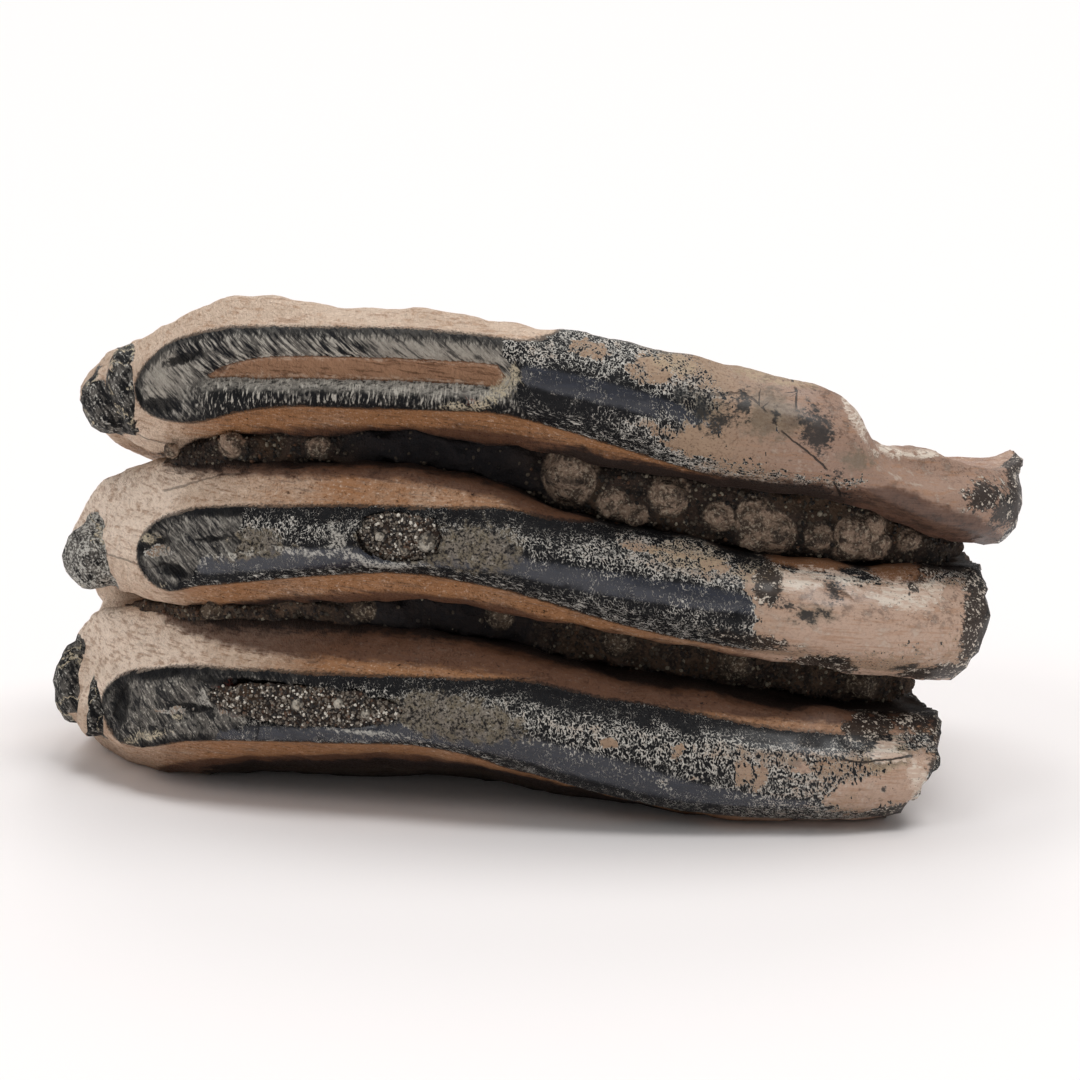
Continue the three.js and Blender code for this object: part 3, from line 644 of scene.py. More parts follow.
def cementFields(s, f):
    above, front = s.z - s.middle, 1 - s.behind
    # paler above the ridge than below it: partly painted light
    light = blend(s.sampled(palenessAndLight, 1), s.sampled(palenessAndLight, 0), ease(above, -1, 1))
    f.light = blend(light, 0.7 + 0.25 * noise(s.p, 9, 63), s.behind)
    slope = (s.z - s.ridgeUp) / np.maximum(0.8, s.sampled(plates, "top") - s.ridgeUp)
    # painted shadow cast by the plate above over the upper slope, and painted shade on the flanks further
    # back
    upperShade = ease(slope - s.sampled(shades, 0), -0.2, 0.26)
    upperShade = np.maximum(upperShade, ease(s.depth, 7, 8) * ease(s.x, -42, -36)) * (s.which > 0)
    # painted shade below the ridge's lower edge
    lowerShade = ease(s.reached, -0.5, 1.3)
    f.deepLow = lowerShade * ease(-above, -0.1, 0.1) * front
    f.deep = blend(lowerShade, upperShade, ease(above, -0.1, 0.1)) * front
    f.wide = noise(s.p, 5, 61) + 0.5 * noise(s.p, 2.4, 62)
    f.pink = ease(s.x, 14, 28) * (1 - 0.8 * (s.which == 2) * ease(s.z - s.up, -0.5, 0.3) * front)


def brokenFields(s, f):  # the broken right end and root side, and the lumpy tips
    x, y, z = s.x, s.y, s.z
    top = along(plates[0]["top"], x) - slopes["top"] * np.maximum(0, s.depth - slopes["topFrom"])
    within = np.minimum(np.minimum(s.pick([90, s.upperSeam, s.lowerSeam]), top) - z,
                        z - np.maximum(s.pick([s.upperSeam, s.lowerSeam, -90]), 0))
    ring = np.minimum(within - cementThick * ease(s.depth, 0, 6), np.maximum(s.depth, 0))
    f.ring = np.clip(ring, -3, 6)
    atRight = 1 - ease(np.abs(x - rightBreak(y, z)), 0.35, 0.8)
    atBack = 1 - ease(np.abs(y - backBreak(x, z)), 0.35, 0.8)
    f.broken = np.maximum(atRight * ease(s.n[:, 0], 0.1, 0.4), atBack * ease(s.n[:, 1], 0.1, 0.4))
    away = [np.linalg.norm((s.p - knob["at"]) / (np.array(knob["radii"]) + 0.75), axis=1) for knob in knobs]
    cleft = np.exp(-(((x + 48.7 - 0.12 * (z - 9)) / 0.5) ** 2)) * (s.which == 2)
    f.knob = np.clip(4 - 4 * np.min(away, axis=0), -2, 2) - 3 * cleft


def soilFields(s, f):  # soil in the grooves, painted shade under the ridges' lower edges, and a painted contact shadow along the lower plate's underside
    x, front = s.x, 1 - s.behind
    inGroove = np.minimum(np.abs(s.z - s.upperSeam), np.abs(s.z - s.lowerSeam))
    dirt = ease(inGroove, 3.5, 0.8) * ease(s.depth, 3, 7) * ease(x, -42, -33)
    start = along(soilStart, x)
    deeper = ease(s.depth, start, start + 4) * ease(x, -46, -36)
    dirt = np.maximum(dirt, np.where(inGroove < 5.5, deeper, 0))
    # painted shade below the top and middle ridges, and a painted contact shadow along the lower plate's
    # underside
    undersideShadow = ease(s.sampled(plates, "low") - s.z, 0.7, 1.9)
    dirt = np.maximum(dirt, s.pick([
        ease(s.reached, 0, 1.4) * ease(x, -4, 5) * (1 - 0.6 * ease(x, 25, 34)) * front,
        ease(s.reached, 1.1, 2.6) * ease(x, 0, 12) * front,
        undersideShadow * ease(x, -38, -33) * (1 - ease(x, 26, 34))]))
    f.dirt = dirt * (1 - ease(s.depth, *fades["dirt"]) * ease(inGroove, 0.8, 2.4) * (s.which < 2))


def toothFields(p, n):  # what the tooth is made of at each point
    s, f = siteOf(p, n), SimpleNamespace()
    for part in (enamelFields, coatFields, markFields, cementFields, brokenFields, soilFields):
        part(s, f)
    f.plate = s.which.astype(float)
    return f


relief = {  # heights in mm
    "cement": 0.1, "swell": 0.14, "fibre": 0.24, "fold": 0.3, "dentine": 0.5, "ridge": 0.4, "knob": 0.5,
    "break": 0.5, "ring": 0.25, "rough": 0.4, "pit": 0.3, "coat": 0.08, "enamel": 0.05, "patch": 0.12,
    "dark": 0.5}


def toothRelief(p, f):  # how far each point moves outwards, in mm
    enamel, whole = ease(f.edge, -0.25, 0.25), 1 - f.broken
    front, cement = enamel * whole, (1 - enamel) * whole
    cut = front * f.worn
    coat = ease(f.coat + 0.35 * noise(p, 1.1, 3), 0.45, 0.6)
    move = relief["swell"] * noise(p, 6, 1) * (1 - cut)
    move += cement * relief["cement"] * layered(slanted(p, 8, (1.9, 1, 0.9)), 1.1, 3, 5)
    pitted = np.maximum(0, noise(p, 1.3, 9) - 0.55) * 2
    move -= cement * relief["pit"] * pitted * ease(f.light, 0.3, 0.9)
    fibre = 1 - 2 * np.abs(noise(slanted(p, -44, (0.5, 3, 2.6)), 1, 11))
    upright = 1 - 2 * np.abs(noise(slanted(p, 6, (0.45, 3, 2)), 1, 13))
    fold = noise(slanted(p, -34, (1, 3, 3.4)), 1, 12)
    first = f.plate == 0
    strands = np.where(first, np.where(f.under > 4.2, fibre, 0.7 * upright), 0.9 * fibre)
    move += cut * relief["fibre"] * strands
    move += cut * relief["fold"] * np.where(first, 0, fold)
    move -= cut * relief["dentine"] * ease(f.dentine, -0.6, 0.2)
    ridge = np.exp(-((f.dentine + 1.9) ** 2)) * ease(f.edge, 0, 0.8)
    move += cut * np.where(first, relief["ridge"] * ridge, 0)
    move += front * f.rough * ease(f.sheen, 0.3, -0.3) * relief["rough"] * layered(p, 1.7, 3, 15)
    move += front * (1 - cut) * (relief["enamel"] * layered(p, 0.9, 2, 19) + relief["coat"] * coat)
    move -= relief["dark"] * ease(f.dark, 0, 0.6) * cut
    for kind in (f.tan, f.crust, f.white, f.ragged):
        move += relief["patch"] * ease(kind + 0.5 * noise(p, 1.2, 17), -0.1, 0.3) * whole
    lumps = layered(slanted(p, 20, (1.2, 1.2, 1)), 2.6, 2, 23, 0.35)
    move += ease(f.knob, 0, 0.5) * relief["knob"] * lumps
    move += f.broken * relief["break"] * layered(p, 2.6, 3, 27)
    return move - f.broken * relief["ring"] * ease(np.abs(f.ring), 0.3, 0)


def store(piece, fields):  # a number for each point, under each name
    for name, values in fields.items():
        layer = piece.data.attributes.new(name, "FLOAT", "POINT")
        layer.data.foreach_set("value", values.astype(np.float32))


def toothMesh():
    piece = toothBody()
    for _ in range(2):
        p, n = points(piece), normals(piece)
        move = toothRelief(p, toothFields(p, n)) / 2
        p = p + n * move[:, None]
        p[:, 2] = np.maximum(p[:, 2], 0)
        setPoints(piece, p)
    tell("tooth shaped", piece)
    p, n = points(piece), normals(piece)
    seen = ease(-n[:, 1], -0.5, 0.3) * ease(-p[:, 1], -14, -2)
    thinned(piece, body["triangles"], blend(0.25, 1, seen))
    thinned(piece, body["triangles"])
    fields = vars(toothFields(points(piece), normals(piece)))
    store(piece, fields)
    return placed(piece), fields


def sums(operation, flipped=False):
    def made(a, b):
        pair = (b, a) if flipped else (a, b)
        return a.finish.node("ShaderNodeMath", {"operation": operation}, dict(enumerate(pair)))

    return made


class Link:  # a node's socket that can be used in sums
    def __init__(self, finish, socket):
        self.finish, self.socket = finish, socket

    __add__ = __radd__ = sums("ADD")
    __mul__ = __rmul__ = sums("MULTIPLY")
    __sub__, __rsub__ = sums("SUBTRACT"), sums("SUBTRACT", True)
    most = sums("MAXIMUM")


def ink(r, g, b):  # a colour as it looks on screen, made linear
    shares = [value / 255 for value in (r, g, b)]
    return (*[s / 12.92 if s <= 0.04045 else ((s + 0.055) / 1.055) ** 2.4 for s in shares], 1)


class Finish:  # a material under construction
    def __init__(self, name):
        self.material = bpy.data.materials.new(name)
        self.material.use_nodes = True
        self.tree = self.material.node_tree
        self.tree.nodes.clear()
        self.place = self.node("ShaderNodeTexCoord", out=3)

    def node(self, kind, settings=(), values=(), out=0):
        made = self.tree.nodes.new(kind)
        for key, value in dict(settings).items():
            setattr(made, key, value)
        for key, value in dict(values).items():
            if isinstance(value, Link):
                self.tree.links.new(value.socket, made.inputs[key])
            else:
                made.inputs[key].default_value = value
        return Link(self, made.outputs[out]) if made.outputs else None

    def cloud(self, sizes, detail=3, coarse=0.55, turn=0, seed=0, swirl=0):  # noise with bumps of sizes in mm
        sizes = sizes if isinstance(sizes, tuple) else (sizes,) * 3
        place = self.node("ShaderNodeMapping", {"vector_type": "TEXTURE"}, {
            "Vector": self.place, "Location": (0.013 * seed, 0.007 * seed, 0.005 * seed),
            "Rotation": (0, radians(turn), 0), "Scale": tuple(size * mm for size in sizes)})
        return self.node("ShaderNodeTexNoise", {}, {
            "Vector": place, "Scale": 1, "Detail": detail, "Roughness": coarse, "Distortion": swirl})

    def ease(self, value, low, high, start=0, end=1):
        return self.node("ShaderNodeMapRange", {"interpolation_type": "SMOOTHSTEP"},
                         {0: value, 1: low, 2: high, 3: start, 4: end})

    def away(self, value):  # how far a value is from 0
        return self.node("ShaderNodeMath", {"operation": "ABSOLUTE"}, {0: value})

    def coats(self, colour, *layers):  # each layer is a colour and the share of it laid over the rest
        for over, share in layers:
            colour = self.node("ShaderNodeMix", {"data_type": "RGBA"}, {0: share, 6: colour, 7: over}, out=2)
        return colour

    def field(self, name):
        return self.node("ShaderNodeAttribute", {"attribute_name": name}, out=2)

    def bump(self, height, distance, strength=1):
        values = {"Height": height, "Distance": distance * mm, "Strength": strength}
        return self.node("ShaderNodeBump", {}, values)

    def done(self, values):
        shader = self.node("ShaderNodeBsdfPrincipled", {}, values)
        self.node("ShaderNodeOutputMaterial", {}, {"Surface": shader})
        return self.material


toothInks = {
    "brown": (166, 119, 81), "brownDeep": (86, 58, 41), "umber": (84, 56, 43), "pale": (220, 196, 174),
    "paler": (250, 229, 209), "pink": (164, 134, 117), "pinkPale": (204, 174, 154), "pit": (26, 21, 19),
    "dirt": (40, 32, 29), "enamel": (9, 10, 14), "enamelGrey": (34, 39, 52), "fibreDark": (20, 22, 27),
    "fibre": (112, 108, 102), "fibrePale": (214, 208, 196), "clear": (172, 165, 154),
    "dentine": (172, 132, 103), "dentineDark": (92, 60, 42), "tan": (172, 146, 122),
    "speck": (232, 229, 220), "speckDull": (106, 104, 100), "crusty": (198, 178, 148),
    "stain": (34, 36, 37), "crust": (232, 220, 204), "orange": (150, 106, 74), "cream": (222, 208, 180),
    "rust": (104, 38, 22), "white": (214, 210, 200), "sandy": (140, 131, 119), "dun": (122, 112, 94),
    "breakBeige": (156, 132, 112), "breakBrown": (110, 84, 66),
}


def toothClouds(f, a):  # noise of each size and slant, and sums of it that several parts use
    cloud = f.cloud
    k = SimpleNamespace(
        fine=cloud(0.26, 2, 0.6), small=cloud(1.1, 4, 0.62, seed=1),
        grain=cloud((0.6, 0.4, 0.34), 3, 0.7, 6, 2), lengthwise=cloud((3.6, 1.2, 0.32), 4, 0.65, 6, 3),
        oblique=cloud((0.3, 1.4, 2.4), 3, 0.6, -44, 4), upright=cloud((0.2, 1, 0.9), 2, 0.6, 6, 5),
        curl=cloud((0.46, 1.2, 2.2), 4, 0.62, -34, 8, 1.1), dashes=cloud((0.8, 0.4, 0.13), 1, 0.6, 12, 7),
        worm=cloud((0.3, 0.32, 0.56), 3, 0.5, -8, 6))
    k.patchy = k.small - 0.5 + a.wide * 0.1
    k.finely, k.grainy, k.streaky, k.curly = k.fine - 0.5, k.grain - 0.5, k.lengthwise - 0.5, k.curl - 0.5
    k.mixed, k.gravel = k.fine * 0.5 + k.grain * 0.5, k.fine * 0.6 + k.grain * 0.4
    return k


def cementLook(f, c, a, k):
    fade = f.ease
    # paler pink on the lower plates and darker pink on the top plate, whose pink end faces down: partly
    # painted light and shade
    k.pink = f.coats(c.pink, (c.pinkPale, fade(a.plate, 0.3, 0.7)))
    # k.soil lays down the groove soil together with the painted shade under the ridges
    k.soil = fade(a.dirt + k.patchy + k.streaky * 0.9, 0.25, 0.8)
    k.pore = fade(k.grain + k.finely * 0.4, 0.31, 0.28) * fade(a.light, 0.2, 0.9, 1, 0.14)
    tone = a.light + a.wide * 0.16 + k.streaky * fade(a.light, 0.3, 1, 0.8, 1.7) + k.grainy * 0.5
    # the palest tone on the upper faces of the left ends is partly painted light
    return f.coats(
        c.brown, (c.pale, fade(tone, 0.08, 0.98)), (c.paler, fade(tone, 1, 1.5)),
        (k.pink, a.pink * fade(a.wide, -0.6, 0.3, 0.7, 1)),
        (c.brownDeep, fade(k.lengthwise, 0.53, 0.66) * fade(a.light, 0.7, 1.1, 0.5, 0.2)),
        (c.brownDeep, fade(k.grain, 0.45, 0.28) * fade(a.light, 0.2, 1.1, 0.65, 0.1)),
        (c.brown, fade(k.lengthwise * 0.6 + k.small * 0.4, 0.48, 0.6) * fade(a.light, 0.3, 0.8) * 0.5),
        (c.brownDeep, fade(k.fine, 0.42, 0.26) * 0.35), (c.paler, fade(k.mixed, 0.54, 0.66) * 0.4),
        # painted shadow and shade, laid in umber, then the groove soil and the painted shade under the ridges
        (c.umber, fade(a.deep + k.streaky * 0.8 + k.patchy * 0.5, 0.25, 0.85) * 0.86),
        (c.dirt, k.soil * 0.92), (c.pit, k.pore * 0.8),
        (c.pit, fade(a.edge + k.finely * 0.6, -0.32, -0.08) * (1 - a.pink) * 0.8))


def patchLook(f, c, a, k, share, spread):  # the pale film of flecks and its tan islands
    fade = f.ease
    upper = fade(a.under, 4, 7).most(fade(a.under, 3, 1)) * a.pink
    return f.coats(
        c.speckDull, (c.speck, fade(k.small * 0.45 + k.fine * 0.55, 0.41, 0.54)),
        (c.tan, fade(share + k.patchy * 0.5, 0.5, 1.1) * fade(spread, -0.01, 0.05)),
        (k.pink, a.pink * fade(share, 1, 1.4) * 0.85),
        (c.crust, fade(k.small, 0.54, 0.68) * a.pink * 0.35),
        (c.brown, fade(k.lengthwise, 0.5, 0.64) * a.pink * 0.4),
        (c.crusty, fade(a.crusty + k.patchy * 1.4, 0, 0.3) * fade(k.fine, 0.35, 0.6) * 0.75),
        (c.dun, fade(a.dun + k.patchy * 1.4 + k.grainy, 0, 0.6) * 0.7),
        (c.brownDeep, fade(k.small * 0.6 + k.grain * 0.4, 0.47, 0.6) * upper.most(0.25) * 0.6),
        (c.pit, fade(k.mixed, 0.42, 0.34) * upper * 0.7),
        (c.brownDeep, fade(k.fine, 0.5, 0.7) * (1 - a.pink * 0.7) * 0.5),
        (c.stain, fade(k.grain, 0.46, 0.3) * fade(share, 1.8, 0.8) * 0.8),
        # painted shade below the ridge in umber, then the groove soil and the painted shade under the ridges
        (c.umber, fade(a.deepLow + k.streaky * 0.8 + k.patchy, 0.3, 0.8) * 0.8), (c.dirt, k.soil * 0.9))


def cutLook(f, c, a, k):  # enamel worn through to its fibres, and the dentine in it
    fade, coats = f.ease, f.coats
    clear = fade(a.wide + k.patchy, -0.2, 0.5)
    glassy = coats(c.clear, (c.fibreDark, fade(k.oblique, 0.46, 0.36) * 0.7))
    silver = fade(a.dentine + k.patchy * 1.4, -1.5, -0.5) * fade(k.grain, 0.3, 0.6)
    ribs = coats(c.enamel, (c.fibre, fade(k.upright + k.patchy * 0.5, 0.48, 0.58) * 0.9),
                 (c.fibrePale, fade(k.upright * 0.6 + k.small * 0.4, 0.54, 0.61) * 0.75),
                 (c.fibrePale, silver * 0.55))
    crushed = coats(c.fibreDark, (c.fibre, fade(k.curl + k.patchy * 0.35, 0.42, 0.55)),
                    (c.fibrePale, fade(k.curl * 0.6 + k.fine * 0.4, 0.53, 0.61) * 0.75))
    core = coats(c.dentine, (c.dentineDark, fade(k.lengthwise, 0.49, 0.62) * 0.7),
                 (c.pale, fade(a.dentine + k.small - 0.5, 0.5, 0.2) * fade(k.grain, 0.42, 0.6) * 0.5),
                 (c.dentineDark, fade(a.dentine, 0.22, 0.03) * 0.8))
    return coats(
        c.fibreDark, (c.fibre, fade(k.oblique + clear * 0.06, 0.42, 0.53)),
        (c.fibrePale, fade(k.oblique * 0.75 + k.small * 0.25 + clear * 0.02, 0.51, 0.6) * 0.75),
        (glassy, a.clear * clear * 0.75), (ribs, fade(a.under + k.patchy, 4.6, 3.7) * a.ribbed),
        (crushed, fade(a.plate, 0.6, 1.4) * 0.9),
        (c.enamel, fade(a.edge + (k.upright - 0.5) * 2.2, 1.1, 0.3) * 0.85),
        (c.enamel, fade(a.dark + k.patchy * 1.4 + k.curly * 1.4, -0.1, 0.3) * 0.9),
        (core, fade(a.dentine + k.finely * 0.5, -0.06, 0.06)))


def enamelLook(f, c, a, k):  # also leaves its cover of flecks, and the share that stays dark and smooth
    fade, coats = f.ease, f.coats
    sheen = fade(a.sheen + k.patchy * 0.5, 0.0, 0.4)
    island = fade(a.tan + k.patchy * 1.5 + (k.worm - 0.5) * 1.2, -0.05, 0.12)
    share = a.coat + k.patchy * 1.1 * fade(a.coat, 1.5, 0.8) + island * 0.55
    spread = share * 0.095 + fade(share, 1, 1.5) * 0.3 - f.away(k.worm - 0.5)
    streak = fade(k.dashes + (share - 0.3) * 0.06 + k.patchy * 0.15, 0.6, 0.64) * fade(a.under, 2.8, 0.8)
    k.cover = fade(spread + k.finely * 0.08, -0.012, 0.014).most(streak * (1 - sheen))
    patch = patchLook(f, c, a, k, share, spread)
    sandy = coats(c.sandy, (c.dun, fade(k.small, 0.44, 0.58)), (c.pit, fade(k.gravel, 0.54, 0.4)),
                  (c.white, fade(k.grain, 0.6, 0.72) * 0.6))
    sandyShare = fade(a.sandy + k.patchy * 1.6, -0.1, 0.3)
    k.rough = fade(a.worn + k.patchy * 0.8, 0.45, 0.55)
    # the band's blue-grey is a painted reflection of the bright floor in front
    enamel = coats(c.enamel, (c.enamelGrey, sheen * fade(k.lengthwise, 0.3, 0.6, 1.1, 0.7)),
                   (patch, k.cover * 0.92), (sandy, sandyShare * 0.85), (cutLook(f, c, a, k), k.rough),
                   (patch, island * k.rough))
    for name, most in (("white", 0.7), ("rust", 0.8), ("cream", 0.8)):
        part = fade(getattr(a, name) + k.curly * 2.6 + k.grainy * 1.6, -0.1, 0.4) * fade(k.fine, 0.36, 0.56)
        enamel = coats(enamel, (getattr(c, name), part * most))
    k.dark = fade(a.edge, -0.1, 0.1) * (1 - k.cover) * (1 - k.rough) * (1 - sandyShare)
    k.dark = k.dark * (1 - a.broken) * sheen
    return enamel


def knobLook(f, c, a, k):
    second = a.plate * (2 - a.plate) * 0.07  # above 0 on the middle plate only
    vein = f.ease(f.away(a.wide + (k.small - 0.5) * 0.6), 0.05, 0.01) * f.ease(k.grain, 0.4, 0.55)
    return f.coats(c.enamel, (c.fibre, f.ease(k.curl * 0.5 + k.small * 0.5 + second, 0.46, 0.6) * 0.9),
                   (c.speck, f.ease(k.curl * 0.4 + k.fine * 0.6 + second, 0.55, 0.63) * 0.7),
                   (c.cream, vein * 0.8))


def brokenLook(f, c, a, k):  # cement, a band of enamel and dentine from the rim of a plate inwards
    within = a.ring + (k.small - 0.5) * 1.6
    inside = f.coats(c.breakBrown, (c.dentine, f.ease(a.wide * 0.3 + k.small, 0.4, 0.6)))
    shards = f.coats(c.enamel, (c.speck, f.ease(k.worm * 0.6 + k.small * 0.4, 0.5, 0.54)))
    return f.coats(
        c.breakBeige, (c.breakBrown, f.ease(k.small, 0.44, 0.56)), (inside, f.ease(a.ring, 1.5, 2.2)),
        (shards, f.ease(within, -0.1, 0.1) * f.ease(within, 1.9, 2.1, 1, 0)),
        (c.dirt, f.ease(a.wide * 0.25 + k.small, 0.54, 0.66) * 0.7))


def toothFinish(fields):  # c holds its colours, a the fields stored on the mesh and k its clouds of noise
    f, c = Finish("stained_tooth"), SimpleNamespace(**{name: ink(*rgb) for name, rgb in toothInks.items()})
    a = SimpleNamespace(**{name: f.field(name) for name in fields})
    k, fade, coats = toothClouds(f, a), f.ease, f.coats
    cement, enamel = cementLook(f, c, a, k), enamelLook(f, c, a, k)
    crust = fade(a.crust + k.patchy * 1.6 + k.streaky * 2 + k.grainy * 1.4, 0.0, 0.4)
    shreds = coats(c.pit, (c.crust, fade(k.small * 0.5 + k.fine * 0.5, 0.54, 0.6) * 0.8))
    gap = f.away(a.crack + (k.small - 0.5) * 0.45)
    crack = fade(gap + a.wide * 0.03, 0.13, 0.06) * fade(a.crackSpan, 0.3, 0.7) * (a.pink * 0.5 + 0.5)
    surface = coats(
        cement, (enamel, fade(a.edge + k.patchy * 0.6 + k.finely * 0.4, -0.04, 0.05)),
        (knobLook(f, c, a, k), fade(a.knob + k.patchy * 0.8, 0.1, 0.2)),
        (brokenLook(f, c, a, k), fade(a.broken + (k.small - 0.5) * 0.5, 0.4, 0.6)),
        (c.stain, fade(a.stain + k.patchy * 1.5 + k.grainy * 1.6 + k.finely, -0.1, 0.4) * 0.9),
        (c.orange, fade(a.orange + k.patchy, -0.1, 0.3) * 0.75),
        (coats(c.crust, (k.pink, fade(k.lengthwise, 0.46, 0.58) * 0.75)), crust * 0.85),
        (c.pit, crust * fade(k.gravel, 0.44, 0.36) * 0.6),
        (shreds, fade(a.ragged + k.patchy * 1.5 + k.grainy, -0.05, 0.2) * 0.93), (c.pit, crack * 0.9))
    height = (k.grain * 0.6 + k.small * 0.5 + k.fine * 0.3 + k.cover * 0.5 - crack * 2 - k.pore
              + k.rough * (k.oblique + k.upright - 1) * 1.5)
    return f.done({"Base Color": surface, "Roughness": fade(k.fine, 0.3, 0.7, 0.52, 0.72) - k.dark * 0.14,
                   "Specular IOR Level": 0.22, "Coat Weight": k.dark * 0.7 + a.pink * 0.3,
                   "Coat Roughness": 0.26, "Coat IOR": 1.6, "Normal": f.bump(height, 0.17, 0.9)})


def keepPiece(piece, finish, slot, *nodes):
    piece.data.materials.clear()
    piece.data.materials.append(finish)
    if nodes:
        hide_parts(*nodes)
    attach(piece, "root")
    tell(piece.name, piece)


tooth, names = toothMesh()
tooth.name = tooth.data.name = "molar_tooth"
keepPiece(tooth, toothFinish(names), "tooth", "molar")


packings = {
    "upper": {"seam": 0, "from": -40, "to": 44.4, "slot": "nodular_sediment",
              "behind": [-39, 4.5, -30, 6, -20, 7.4, 0, 8.2, 10, 6.4, 38, 6.8, 43, 7.6, 48, 9],
              "stones": [(-38, 36.6, 0.8), (-31.6, 37.6, 1.2), (-22.6, 37.6, 0.9), (3.4, 35.2, 2.8),
                  (7.4, 32.6, 1.3), (13, 33.6, 1.8), (18, 31.4, 1.2), (21.6, 31.2, 1.9), (23.6, 29.8, 1.9),
                  (21.4, 28.8, 1.1), (31.6, 29.5, 1.8), (33.6, 28.4, 1.6), (33.7, 30.4, 1.1),
                  (9.6, 31.4, 1), (31, 27.8, 1.1), (28, 29.2, 1.1), (37.4, 28.4, 0.9)],
              "soil": ink(60, 47, 39), "soilDark": ink(19, 16, 14), "stone": ink(148, 126, 108)},
    "lower": {"seam": 1, "from": -45, "to": 39.4, "slot": "dark_sediment",
              "behind": [-45, 4.5, -20, 6, 0, 8.6, 20, 9.5, 36, 9, 43, 9.5],
              "stones": [(-34, 20.2, 0.9), (-18, 21, 1), (-4, 20.4, 1.1), (8, 18, 1.4), (20, 15.6, 1.6),
                  (33, 13, 1.3)],
              "soil": ink(92, 74, 60), "soilDark": ink(36, 30, 27), "stone": ink(96, 82, 68)},
}
packingForm = {"steps": 150, "sides": 24, "voxel": 0.24, "triangles": 70000, "grit": 0.26, "swells": 0.3,
               "thick": 3, "squareness": 0.6, "coarseSteps": 18}


def depthInStones(p, stones):  # how deep each point lies in the nearest stone
    return np.max([stone[3] - np.linalg.norm(p - stone[:3], axis=1) for stone in stones], axis=0)


def packingBody(name, made):
    i, rings, form = made["seam"], [], SimpleNamespace(**packingForm)
    turn = 2 * np.pi * np.arange(form.sides) / form.sides
    for n in range(form.steps + 1):
        x = blend(made["from"], made["to"], n / form.steps)
        coarse = form.coarseSteps * n / form.steps
        keep = min(1, coarse / 2, form.coarseSteps - coarse) ** 0.5
        half = (along(plates[i]["low"], x) - along(plates[i + 1]["top"], x)) / 2 + 0.7
        across, upward = (np.sign(v) * np.abs(v) ** form.squareness for v in (np.cos(turn), np.sin(turn)))
        y = along(crestDepth, x) + along(made["behind"], x) + form.thick * (1 - keep * across)
        y = y + form.swells * keep * np.sin(0.9 * x + 3 * turn)
        rings.append(np.column_stack([np.full(form.sides, x), y, seam(i, x, y) + keep * half * upward]))
    stones = [np.array([x, along(crestDepth, x) + along(made["behind"], x) + 0.5 * radius, z, radius])
              for x, z, radius in made["stones"]]
    piece = tubeOf(name, rings)
    joinWith(piece, [ballOf("stone", stone[:3], (stone[3],) * 3, 17 * stone[0]) for stone in stones], "UNION")
    remade(piece, form.voxel)
    p, n = points(piece), normals(piece)
    inStone = ease(depthInStones(p, stones), -0.35, -0.05)
    grit = form.grit * layered(p, 1.3, 3, 31) + inStone * 0.1 * noise(p, 0.5, 39)
    grit += (1 - inStone) * (0.35 * np.maximum(0, noise(p, 1.6, 33)) + 0.2 * noise(p, 4, 35) - 0.3)
    grit += inStone * (0.05 + 0.3 * noise(p, 1.4, 37))
    setPoints(piece, p + n * grit[:, None])
    thinned(piece, form.triangles)
    p = points(piece)
    soft = depthInStones(p, stones) + 0.6
    # painted shadow: the middle stretch of each packing, sunk in the groove, is laid near black and kept bare
    # of grains
    grooveShadow = ease(p[:, 0], -23, -17) * (1 - ease(p[:, 0], -3, 4))
    depth = p[:, 1] - along(crestDepth, p[:, 0]) - along(made["behind"], p[:, 0])
    share = (1 - ease(depth, 0.8, 2.2)) * (1 - 0.9 * grooveShadow) * ease(soft, 0.2, -0.1)
    store(piece, {"stone": np.clip(soft, -3, 3), "grooveShadow": grooveShadow, "grainShare": share})
    return placed(piece)


def packingFinish(name, soil, soilDark, stone):
    f = Finish(name)
    fine, small, wide = f.cloud(0.3, 3, 0.65), f.cloud(1.2, 4, 0.6, seed=3), f.cloud(5, 3, 0.5, seed=5)
    inStone = f.field("stone")
    rounded = f.coats(stone, (ink(58, 48, 41), f.ease(small, 0.46, 0.58) * 0.85),
                      (ink(204, 190, 168), f.ease(fine, 0.52, 0.64) * 0.5),
                      (soilDark, f.ease(fine, 0.44, 0.34) * 0.5),
                      (soilDark, f.ease(inStone + (fine - 0.5) * 0.6, 0.45, 0.15) * 0.6))
    colour = f.coats(soilDark, (soil, f.ease(small * 0.6 + fine * 0.4, 0.38, 0.62)),
                     (ink(88, 68, 50), f.ease(wide, 0.5, 0.68) * 0.5),
                     (ink(124, 113, 98), f.ease(fine, 0.6, 0.7) * 0.6),
                     # near black where the groove's painted shadow lies
                     (ink(24, 23, 27), f.field("grooveShadow") * 0.85),
                     (rounded, f.ease(inStone + (small - 0.5) * 0.7, 0.0, 0.2)))
    return f.done({"Base Color": colour, "Roughness": f.ease(fine, 0.3, 0.7, 0.75, 0.95),
                   "Specular IOR Level": 0.3, "Normal": f.bump(fine * 0.8 + small, 0.36)})


def grainFinish(name, dark, pale, bright):
    f = Finish(name)
    hue, fine = f.field("hue"), f.cloud(0.2, 2, 0.6)
    colour = f.coats(dark, (pale, f.ease(hue, 0.15, 0.75)), (bright, f.ease(hue, 0.86, 0.93)),
                     (ink(94, 62, 40), f.ease(hue, 0.4, 0.43) * f.ease(hue, 0.5, 0.47) * 0.7),
                     (dark, f.ease(fine, 0.5, 0.7) * 0.4))
    return f.done({"Base Color": colour, "Roughness": 0.62, "Specular IOR Level": 0.4})


